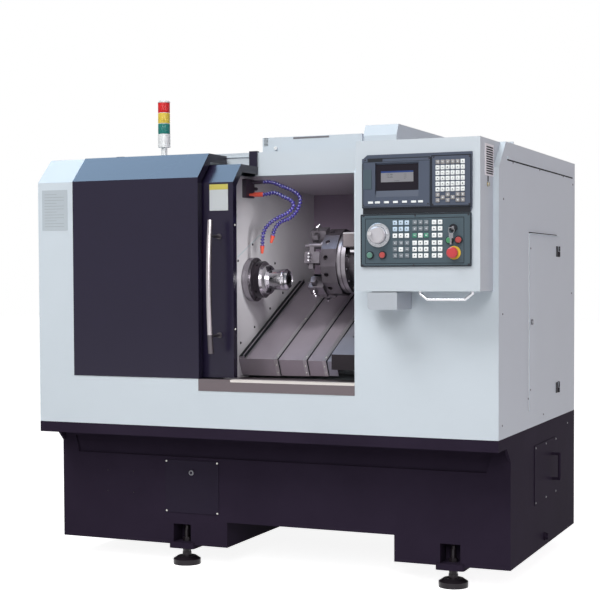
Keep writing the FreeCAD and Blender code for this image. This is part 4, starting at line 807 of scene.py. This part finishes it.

# %% [markdown]
# ## Way-cover wipers
# Every slat ends in a bright nosing held by two screws, with a black rubber lip that wipes
# the slat below it. The nosings are painted brighter than the slats as a painted highlight,
# and a thin bright strip along each slat's front edge is a painted highlight on its fold.
# The first slat also carries a dark strip along the wall.

# %% Nosings, lips and the wall strip
FRONT_EDGE, REAR_EDGE, COVER_TOP = -249.0, 461.0, -241.0
slope_slab("wall_strip_rubber", (-156.6, -244, -234.3), (-135.4, 460, -233.2), seam_black)
slope_slab("wall_ridge_dark_side", (-131.1, -244.6, -240.9), (-129.7, 460, -226.6), seam_black,
           edge=0.2)
slope_slab("wall_ridge_foot", (-129.6, -246, -241.1), (-126.4, 460, -240.2), nosing_and_highlight_steel,
           edge=0.2)
towards_front = (0.0, -math.cos(SLOPE), -math.sin(SLOPE))
upwards = (0.0, -math.sin(SLOPE), math.cos(SLOPE))
# name, X of the nosing, place in the stack, way it faces, end of the painted edge highlight, body
slats = (("one", 18, 0, 1, -156, "machine"), ("two", 145, 1, 1, 25, "cover_two"),
         ("three", 228, 2, 1, 152, "cover_three"), ("middle", 692, 2, -1, 812, "cover_middle"),
         ("right", 815, 0, -1, 978, "machine"))
for label, edge_x, order, side, highlight_end, body in slats:
    step = 4 * order            # each slat lies this much below the first
    top, front, rear = COVER_TOP - step, FRONT_EDGE + step, REAR_EDGE - 6 * order
    nosing = sorted((edge_x, edge_x - 17 * side))
    hem = sorted((highlight_end, edge_x - 18 * side))
    wiper = sorted((edge_x + 0.2 * side, edge_x + 2.6 * side))
    for name, (left, right), low, high, material, edge in (
            ("nosing_", nosing, (front - 0.9, top - 0.2), (rear - 4, top + 1.1),
             nosing_and_highlight_steel, 0.4),
            ("nosing_front_", nosing, (front - 1.1, top - 77 + step), (front + 0.2, top + 1.1),
             nosing_and_highlight_steel, 0.4),
            # The front edge strip: a painted highlight along the slat's hem.
            ("front_hem_", hem, (front - 0.6, top - 1.4), (front + 1.6, top + 0.5),
             nosing_and_highlight_steel, 0.4),
            ("wiper_", wiper, (front - 0.6, top - 3.9), (rear - 6, top + 0.6), seam_black, 0.3),
            ("wiper_front_", wiper, (front - 0.8, top - 75 + step), (front + 3.9, top + 0.4),
             seam_black, 0.3)):
        slope_slab(name + label, (left, *low), (right, *high), material, body, edge)
    screw_x = edge_x - 9 * side
    spots = [(on_slope(screw_x, front - 1.0, top - depth), towards_front)
             for depth in (28.0, 64.0 - step)]
    spots += [(on_slope(screw_x, up, top + 1.0), upwards)
              for up in (front + 30, (front + rear) / 2, rear - 40)]
    screws_at("nosing_screws_" + label, spots, 3.6, 1.6, zinc, body, 12)
plate_between("wall_seam_light", -157.1, (190, 1296), (410, 1391.5), 5.0, 0.7, pale_ink)

# %% [markdown]
# ## Key caps
# A key cap is a rounded square with a slightly smaller, flat top. In the tree a rounded
# outline is filled, pulled out, and its top face is drawn in a little before the last pull.

# %% Build the key tree
key_tree, start, end = new_tree("key_caps", (("Width", "Float"), ("Height", "Float"),
                                             ("Depth", "Float"), ("Corner", "Float"),
                                             ("Finish", "Material")))
outline = add(key_tree, "GeometryNodeCurvePrimitiveQuadrilateral")
link(start, "Width", outline, "Width")
link(start, "Height", outline, "Height")
rounding = add(key_tree, "GeometryNodeFilletCurve", {"mode": "POLY"}, Count=2)
link(outline, "Curve", rounding, "Curve")
link(start, "Corner", rounding, "Radius")
face = add(key_tree, "GeometryNodeFillCurve", {"mode": "NGONS"})
link(rounding, "Curve", face, "Curve")
pull = add(key_tree, "GeometryNodeExtrudeMesh", {"mode": "FACES"})
link(face, "Mesh", pull, "Mesh")
link(start, "Depth", pull, "Offset Scale")
draw_in = add(key_tree, "GeometryNodeExtrudeMesh", {"mode": "FACES"})
edge_lift = calculate(key_tree, "MULTIPLY", 0.22)
link(start, "Depth", edge_lift, 0)
link(edge_lift, 0, draw_in, "Offset Scale")
link(pull, "Mesh", draw_in, "Mesh")
link(pull, "Top", draw_in, "Selection")
smaller = add(key_tree, "GeometryNodeScaleElements", Scale=0.88)
link(draw_in, "Mesh", smaller, "Geometry")
link(draw_in, "Top", smaller, "Selection")
caps = turn_to_facing(key_tree, start.outputs["Geometry"], smaller.outputs["Geometry"])
end_tree(key_tree, start, end, caps)


def keys(name, places, y, width, height, material, depth=3.1, corner=1.6):
    """Key caps on the front of a panel; places are (x, z) in mm."""
    spots = [(at(x, y, z), FRONT) for x, z in places]
    values = {"Width": width / 1000, "Height": height / 1000, "Depth": depth / 1000,
              "Corner": corner / 1000, "Finish": material}
    return grown(name, points_mesh(name, spots), key_tree, values)

# %% Set the keys of the data keypad
DATA_X, DATA_Z, DATA_ACROSS, DATA_DOWN = 825.7, 1625, 18.7, 19.6    # first key and pitch, mm
white_places, grey_places = [], []
for row in range(8):
    for column in range(6):
        x, z = DATA_X + DATA_ACROSS * column, DATA_Z - DATA_DOWN * row
        if column in (1, 3) and row == 7:
            continue
        if column in (1, 3) and row == 6:
            z -= DATA_DOWN / 2
        grey = row >= 6 or (row == 0 and column < 5)
        (grey_places if grey else white_places).append((x, z))
keys("data_keys_white", white_places, UNIT_Y, 14.8, 15.4, key_white, corner=1.3)
keys("data_keys_grey", grey_places, UNIT_Y, 14.8, 14.8, key_grey, corner=1.3)
soft_places = [(x, 1485.5) for x in (568.6, 595.6, 630.4, 665.2, 700.0, 734.8, 761.0)]
keys("screen_soft_keys", soft_places, UNIT_Y, 18.8, 8.0, key_white, 2.5, 1.4)

# %% Set the keys of the operator panel
sets = {key_pale: [], key_white: [], key_slate: [], key_green: []}
for row, z in enumerate((1410, 1387, 1363, 1336, 1313, 1290)):
    for column in range(3):
        if row < 2:
            left, middle = key_pale, key_slate
        else:
            left = key_white if row == 2 or (row == 4 and column == 1) else key_slate
            middle = key_green if row == 2 and column != 1 else key_white
        sets[left].append((662.0 + 22.9 * column, z))
        sets[middle].append((737.4 + 21.9 * column, z))
        if column < 2:
            sets[key_white].append((811.2 + 22.5 * column, z))
for material, places in sets.items():
    keys("panel_" + material.name, places, PANEL_Y, 16.4, 16.4, material, corner=1.5)

# %% [markdown]
# ## Marks on the keys
# The keys carry small printed signs: dashes, squares, triangles and rings, and plain digits
# on the number keys.

# %% Print the signs
SIGNS = {
    "dash": [(-3.6, -0.8), (3.6, -0.8), (3.6, 0.8), (-3.6, 0.8)],
    "square": [(-2.3, -2.3), (2.3, -2.3), (2.3, 2.3), (-2.3, 2.3)],
    "up": [(-2.9, -2.1), (2.9, -2.1), (0.0, 2.9)],
    "down": [(-2.9, 2.1), (0.0, -2.9), (2.9, 2.1)],
    "left": [(2.1, -2.9), (2.1, 2.9), (-2.9, 0.0)],
    "right": [(-2.1, -2.9), (2.9, 0.0), (-2.1, 2.9)],
    "ring": [around((0, 0), 2.7, 40 * k) for k in range(9)],
}


def printed(name, places, y, material):
    """Flat signs on key tops; places are (sign, x, z)."""
    work = bmesh.new()
    for sign, x, z in places:
        work.faces.new([work.verts.new(at(x + dx, y, z + dz)) for dx, dz in SIGNS[sign]])
    return put(name, mesh_of(work, name), material, smooth=False)


KINDS = ("dash", "square", "up", "ring", "right", "dash", "down", "left")
DIGITS = {(1, 3): "7", (1, 4): "8", (1, 5): "9", (2, 3): "4", (2, 4): "5", (2, 5): "6",
          (3, 3): "1", (3, 4): "2", (3, 5): "3", (4, 4): "0"}
PRINT_LIFT = 3.9            # key tops over their panel, in mm
dark_signs, pale_signs, digit_rows = [], [], []
for x, z in white_places + grey_places:
    column, row = round((x - DATA_X) / DATA_ACROSS), round((DATA_Z - z) / DATA_DOWN)
    if (row, column) in DIGITS:
        digit_rows.append((DIGITS[row, column], x, UNIT_Y - PRINT_LIFT, z, 9.0))
    elif (x, z) in grey_places:
        pale_signs.append((KINDS[(3 * row + 5 * column) % 8], x, z))
    else:
        dark_signs.append((KINDS[(5 * row + 3 * column) % 8], x, z))
panel_dark, panel_pale = [], []
for material, places in sets.items():
    target = panel_dark if material in (key_white, key_pale) else panel_pale
    target += [(KINDS[(round(x / 22) * 3 + round(z / 23) * 5) % 8], x, z) for x, z in places]
for name, places, y, material in (("data_signs_dark", dark_signs, UNIT_Y, ink),
                                  ("data_signs_pale", pale_signs, UNIT_Y, pale_ink),
                                  ("panel_signs_dark", panel_dark, PANEL_Y, ink),
                                  ("panel_signs_pale", panel_pale, PANEL_Y, pale_ink)):
    printed(name, places, y - PRINT_LIFT, material)
print("signs:", len(dark_signs) + len(pale_signs) + len(panel_dark) + len(panel_pale))

# %% [markdown]
# ## Bead hoses
# Coolant hoses of this kind are chains of snap-in plastic links. Each link swells from a
# neck to a shoulder, and the ball of one sits in the next. The route is a smooth curve
# through the listed points, and the tree sets a link on it at every pitch.

# %% One link, and the tree that strings them
LINK_PITCH = 0.0127         # from one link to the next, in metres
link_mesh = turned_mesh("hose_link", [(4.6, -6.3), (4.8, -5.0), (7.6, -3.4), (9.0, -1.2),
                                      (9.1, 0.8), (8.0, 2.9), (5.6, 4.4), (4.6, 4.9), (4.6, 6.4)],
                        Vector(), (0, 0, 1), 16)
link_shape = shown("hose_link", link_mesh)
link_mesh.shade_smooth()
hose_tree, start, end = new_tree("bead_hose", (("Link", "Object"), ("Pitch", "Float"),
                                               ("Finish", "Material")))
spread = add(hose_tree, "GeometryNodeCurveToPoints", {"mode": "LENGTH"})
link(start, "Geometry", spread, "Curve")
link(start, "Pitch", spread, "Length")
link_info = add(hose_tree, "GeometryNodeObjectInfo")
link(start, "Link", link_info, "Object")
string = add(hose_tree, "GeometryNodeInstanceOnPoints")
link(spread, "Points", string, "Points")
link(link_info, "Geometry", string, "Instance")
link(spread, "Rotation", string, "Rotation")
end_tree(hose_tree, start, end, string.outputs["Instances"])


# %% String the two hoses
def hose_route(name, points, y):
    """A smooth curve through the points, which are (x, z) in mm."""
    curve = bpy.data.curves.new(name, "CURVE")
    curve.dimensions = "3D"
    spline = curve.splines.new("BEZIER")
    spline.bezier_points.add(len(points) - 1)
    for knot, (x, z) in zip(spline.bezier_points, points):
        knot.co = at(x, y, z)
        knot.handle_left_type = knot.handle_right_type = "AUTO"
    spline.resolution_u = 16
    return curve


upper_route = ((-85, 1609), (-60, 1609), (-36, 1603), (-6, 1590), (26, 1578), (56, 1563),
               (75, 1545), (78, 1524), (70, 1501), (54, 1476), (28, 1456), (-7, 1443), (-28, 1427),
               (-41, 1404), (-46, 1386))
lower_route = ((-74, 1556), (-52, 1558), (-30, 1562), (-9, 1557), (14, 1545), (40, 1534),
               (58, 1519), (60, 1502), (46, 1486), (18, 1470), (-16, 1455), (-46, 1437),
               (-67, 1415), (-77, 1390), (-80, 1366), (-81, 1343))
for name, route, y in (("upper", upper_route, 300.0), ("lower", lower_route, 270.0)):
    hose = grown("bead_hose_" + name, hose_route("route_" + name, route, y), hose_tree,
                 {"Link": link_shape, "Pitch": LINK_PITCH, "Finish": hose_blue})
    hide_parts("coolant_hose_" + name)
bpy.data.objects.remove(link_shape)

# %% [markdown]
# ## Signal tower
# Three ribbed lenses stand on the white base. Plain cylinders would look like plastic tubes;
# real lenses have upright prisms inside that break the light, so each ring is fluted.


# %% Flute the lenses
def lens_material(name, colour):
    """Coloured clear plastic: some light goes through, some is scattered."""
    material = finish(name, colour, 0.30, cloud=0.10, cloud_scale=30, grain=0.15,
                      grain_scale=500, spec=0.2)
    shader = material.node_tree.nodes["Principled BSDF"]
    shader.inputs["Transmission Weight"].default_value = 0.12
    shader.inputs["Coat Weight"].default_value = 0.08
    return material


TOWER = (-716.0, 590.0)     # the lamp post, (x, y) in mm
LENS_RADIUS, LENS_BORE, LENS_FLUTES = 27.0, 20.0, 32


def fluted(name, low, high, material):
    """A hollow lens ring with upright flutes."""
    work = bmesh.new()
    steps = LENS_FLUTES * 2
    rings = []
    for z, radius, wave in ((low, LENS_RADIUS - 1.2, 0), (low + 1.5, LENS_RADIUS, 1.3),
                            (high - 1.5, LENS_RADIUS, 1.3), (high, LENS_RADIUS - 1.2, 0),
                            (high, LENS_BORE, 0), (low, LENS_BORE, 0)):
        spots = [around(TOWER, radius - wave * (step % 2), 360 * step / steps)
                 for step in range(steps)]
        rings.append([work.verts.new(at(x, y, z)) for x, y in spots])
    skin(work, rings)
    return put(name, mesh_of(work, name), material)


for label, colour, low, high in (("green", (0.004, 0.20, 0.17), 1861, 1907),
                                 ("amber", (0.80, 0.60, 0.07), 1909, 1955),
                                 ("red", (0.72, 0.010, 0.014), 1957, 2002)):
    lens = fluted("lens_" + label, low, high, lens_material("lens_" + label, colour))
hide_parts("tower_lenses")

# %% [markdown]
# ## Screen
# The screen lies at the bottom of a bevelled recess: dark glass with a grey picture of rows
# of numbers. The numbers are flat text turned into mesh, a hair above the glass.

# %% Glass and numbers
glass = finish("screen_glass", (0.016, 0.013, 0.020), 0.12, cloud=0.05, grain=0.02, spec=0.12)
header_blue = finish("screen_header_blue", (0.03, 0.06, 0.20), 0.2, cloud=0.05, grain=0.02,
                     spec=0.1)
screen_grey = finish("screen_pale_grey", (0.24, 0.24, 0.26), 0.2, cloud=0.04, grain=0.02, spec=0.1)
POCKET_Y = UNIT_Y + 8
for name, (x, z), (far_x, far_z), out, depth, material, edge in (
        ("screen_glass", (586.3, 1528.2), (752.7, 1623.8), 0.5, 0.3, glass, 0.2),
        ("screen_picture", (606, 1559), (731, 1599), 0.9, -0.3, screen_grey, 0.1),
        ("screen_header", (606, 1593), (731, 1599), 1.1, -0.6, header_blue, 0.1)):
    slab(name, (x, POCKET_Y - out, z), (far_x, POCKET_Y + depth, far_z), material, edge=edge)
slab("screen_side_cover", (540.6, UNIT_Y - 1.8, 1534.6), (572.4, UNIT_Y + 0.3, 1606.4),
     panel_slate, edge=0.6)


# %% Draw the borders
def rim(name, low, high, y, width, material):
    """A thin rectangular border on a panel; low and high are (x, z) corners in mm."""
    work = bmesh.new()
    rings = []
    for inset, level in ((0, 0.3), (0.3, -0.5), (width - 0.3, -0.5), (width, 0.3)):
        left, foot, right, head = low[0] + inset, low[1] + inset, high[0] - inset, high[1] - inset
        corners = ((left, foot), (right, foot), (right, head), (left, head))
        rings.append([work.verts.new(at(x, y + level, z)) for x, z in corners])
    skin(work, rings)
    return put(name, mesh_of(work, name), material, smooth=False)


rim("keypad_border", (801.2, 1466.2), (949.8, 1649.8), UNIT_Y, 3.6, bezel_black)
rim("panel_border", (527.6, 1250.6), (948.4, 1442.4), PANEL_Y, 4.2, bezel_black)
rim("panel_inner_line", (545.2, 1261.2), (922.8, 1426.8), PANEL_Y, 1.8, bezel_black)
rim("screen_border_line", (541, 1471), (795, 1634), UNIT_Y, 1.4, bezel_black)
for side, (x, z), (far_x, far_z) in (("left", (534.8, 1466), (537.6, 1628)),
                                     ("right", (796.8, 1466), (799.2, 1645)),
                                     ("lower", (536, 1464.9), (798, 1468)),
                                     ("upper", (556, 1643.4), (798, 1646.1))):
    slab("screen_" + side + "_edge", (x, UNIT_Y - 0.4, z), (far_x, UNIT_Y + 0.3, far_z),
         bezel_black, edge=0.2)
slab("between_panels", (536, -177.6, 1444), (945, -176.9, 1464.6), bezel_black, edge=0.2)
slab("screen_bare_badge", (557, UNIT_Y - 0.9, 1633), (615, UNIT_Y + 0.2, 1645), bezel_black,
     edge=0.4)


# %% Set the numbers
def lettering(name, rows_of_text, material):
    """Flat numbers, set in mm: (text, x, y, z, height)."""
    work = bmesh.new()
    for text, x, y, z, size in rows_of_text:
        curve = bpy.data.curves.new(name, "FONT")
        curve.body = text
        curve.size = size / 1000
        curve.align_x = curve.align_y = "CENTER"
        curve.resolution_u = 2
        written = shown(name, curve)
        graph = bpy.context.evaluated_depsgraph_get()
        mesh = bpy.data.meshes.new_from_object(written.evaluated_get(graph))
        bpy.data.objects.remove(written)
        mesh.transform(Matrix.Translation(at(x, y, z)) @ Matrix.Rotation(math.pi / 2, 4, "X"))
        work.from_mesh(mesh)
    joined = bpy.data.meshes.new(name)
    work.to_mesh(joined)
    work.free()
    return put(name, joined, material, smooth=False)


screen_rows = (("125.480", 640, 1586, 8), ("-36.205", 640, 1577, 8), ("0.000", 700, 1586, 5),
               ("1200", 700, 1579, 5), ("0.15", 700, 1572, 5), ("10 20 30 40", 668, 1564, 4.5))
lettering("screen_numbers",
          [(text, x, POCKET_Y - 1.0, z, size) for text, x, z, size in screen_rows], ink)
lettering("key_digits", digit_rows, ink)

# %% [markdown]
# ## Emergency stop, handwheel and switch
# The stop stands on a yellow plate. The handwheel turns inside a silver ring with a scale of
# a hundred marks, one for each click. The key switch and the buttons have black bezels.


# %% Rings and scale
def panel_ring(name, spot, sizes, material, steps):
    """A chamfered ring on the operator panel; the spot is (x, z) in mm."""
    turned(name, cap_ring(*sizes), at(spot[0], PANEL_Y, spot[1]), FRONT, material, steps=steps)


WHEEL = (599.0, 1366.0)     # the handwheel, (x, z) in mm
panel_ring("stop_yellow_plate", (886, 1299), (11.6, 3.0, 3.4, 23.6, 24.4, 2.6, -0.2, 24.05),
           yellow_ring, 48)
panel_ring("handwheel_scale_ring", WHEEL, (32.2, 9.0, 9.5, 43.0, 44.0, 8.6, -0.2, 43.55),
           ring_silver, 64)
tick_work = bmesh.new()
for mark in range(100):
    angle = 2 * math.pi * mark / 100
    inner_r, half = (35.0, 0.6) if mark % 10 == 0 else (38.0, 0.3)
    corners = []
    for r, side in ((inner_r, -half), (42.0, -half), (42.0, half), (inner_r, half)):
        corners.append(tick_work.verts.new(at(
            WHEEL[0] + r * math.cos(angle) - side * math.sin(angle), PANEL_Y - 9.6,
            WHEEL[1] + r * math.sin(angle) + side * math.cos(angle))))
    tick_work.faces.new(corners[::-1])
put("handwheel_scale_marks", mesh_of(tick_work, "handwheel_scale_marks"), ink, smooth=False)
panel_ring("switch_barrel_ring", (884, 1388), (6.4, 9.0, 9.5, 13.2, 14.4, 8.4, -0.2, 14.05),
           bezel_black, 32)
for label, spot in (("start", (565, 1293)), ("hold", (614, 1293)), ("power_on", (869, 1344)),
                    ("power_off", (903, 1345))):
    panel_ring("bezel_" + label, spot, (11.3, 6.0, 6.4, 13.4, 14.9, 5.0, -0.2, 14.55),
               bezel_black, 40)

# %% [markdown]
# ## Bare plates
# Two plates are fixed to the sheets: one with faint ruled lines on the front sheet, and a
# blank one, a yellow band over white, on the door.

# %% Fit the plates
plate_white = finish("plate_white", (0.50, 0.53, 0.55), 0.4, cloud=0.03, grain=0.06)
plate_yellow = finish("plate_yellow", (0.50, 0.44, 0.09), 0.4, cloud=0.04, grain=0.06)
plate_grey = finish("plate_brushed", (0.44, 0.49, 0.53), 0.36, 0.3, cloud=0.05, grain=0.1)
slab("front_bare_plate", (-980, -1.0, 1412), (-855, 0.2, 1582), plate_grey, edge=0.3)
for row in range(12):
    width = 96 if row % 3 else 60
    z = 1563 - 12.2 * row
    slab("front_plate_line_" + str(row + 1), (-968, -1.15, z), (-968 + width, -0.8, z + 1.6),
         faint_ink, edge=0.05)
for material, low, high in ((plate_yellow, 1566, 1588), (plate_white, 1482, 1566)):
    slab("door_" + material.name, (-210, 43.0, low), (-127, 44.2, high), material, "sliding_door",
         0.3)
for label, x in (("left", -206.5), ("right", -130.5)):
    screws("door_plate_rivets_" + label, on_front(43.0, lattice((x,), (1485.5, 1584.5))), FRONT,
           1.8, 0.8, zinc, "sliding_door", 10)
print("plates fitted")

# %% [markdown]
# ## Studio
# A white room: the floor is a wide pale plane that keeps the soft shadow, and the world is
# white where the camera or a mirror looks at it. The main lamp stands high at the front
# right, others overhead and on the right, a small one hangs in the working space,
# and a bluish panel over the machine is seen only as a reflection in the charcoal covers.
# One more lamp is seen only as a spark on round and polished things.


# %% Floor, world and lamps
def straight_rays(tree, extra=None):
    """1 for what the camera or a mirror sees, and for one more kind of ray."""
    rays = add(tree, "ShaderNodeLightPath")
    seen = calculate(tree, "MAXIMUM")
    link(rays, "Is Camera Ray", seen, 0)
    link(rays, "Is Glossy Ray", seen, 1)
    if extra is None:
        return seen
    through = calculate(tree, "MAXIMUM")
    link(seen, 0, through, 0)
    link(rays, extra, through, 1)
    return through


floor_mesh = bpy.data.meshes.new("studio_floor")
floor_mesh.from_pydata([(-30, -30, 0), (30, -30, 0), (30, 30, 0), (-30, 30, 0)], [],
                       [(0, 1, 2, 3)])
floor = shown("studio_floor", floor_mesh)
floor_material = bpy.data.materials.new("studio_floor_white")
floor_material.use_nodes = True
tree = floor_material.node_tree
shader = tree.nodes["Principled BSDF"]
shader.inputs["Base Color"].default_value = (0.80, 0.80, 0.80, 1)
shader.inputs["Roughness"].default_value = 1.0
shader.inputs["Specular IOR Level"].default_value = 0.0
glow = calculate(tree, "MULTIPLY", 0.90)
link(straight_rays(tree), 0, glow, 0)
shader.inputs["Emission Color"].default_value = (1, 1, 1, 1)
link(glow, 0, shader, "Emission Strength")
floor_mesh.materials.append(floor_material)

world = bpy.data.worlds.new("studio_world")
bpy.context.scene.world = world
world.use_nodes = True
tree = world.node_tree
sky = tree.nodes["Background"]
level = add(tree, "ShaderNodeMapRange", To_Min=0.16, To_Max=1.0)
link(straight_rays(tree, "Is Transmission Ray"), 0, level, "Value")
link(level, "Result", sky, "Strength")
sky.inputs["Color"].default_value = (1, 1, 1, 1)


# %% Hang the lamps
def lamp(name, spot, target, size, watts, colour=(1, 1, 1), high=None):
    """A rectangular soft lamp aimed at a point; spots in mm."""
    data = bpy.data.lights.new(name, "AREA")
    data.shape = "RECTANGLE"
    data.size = size
    data.size_y = high or size
    data.energy = watts
    data.color = colour
    made = shown(name, data)
    aim = at(*target) - at(*spot)
    turn = aim.to_track_quat("-Z", "Y").to_matrix().to_4x4()
    made.matrix_world = Matrix.Translation(at(*spot)) @ turn
    return made


MIDDLE = (0, 0, 1100)       # the machine's middle, in mm
lamp("main_lamp", (2900, -9200, 5200), MIDDLE, 4.5, 400)
lamp("high_lamp", (-1500, -5500, 8200), MIDDLE, 4.0, 470)
lamp("side_lamp", (9800, -600, 2600), (1000, 500, 1100), 3.0, 90, (1.0, 0.70, 0.92))
work_lamp = lamp("work_lamp", (290, 120, 1500), (-150, 420, 1040), 0.12, 0.85)
work_lamp.data.spread = math.radians(110)
work_lamp.visible_glossy = False
spark_lamp = lamp("spark_lamp", (2200, -6000, 3000), (0, 300, 1300), 2.4, 200)
spark_lamp.visible_diffuse = False
ceiling_panel = lamp("ceiling_panel", (-1800, 300, 4700), (-1800, 300, 0), 3.4, 205,
                     (0.42, 0.70, 1.0), 2.6)
ceiling_panel.visible_diffuse = False
bpy.context.scene.view_settings.view_transform = "Standard"
print("studio ready")
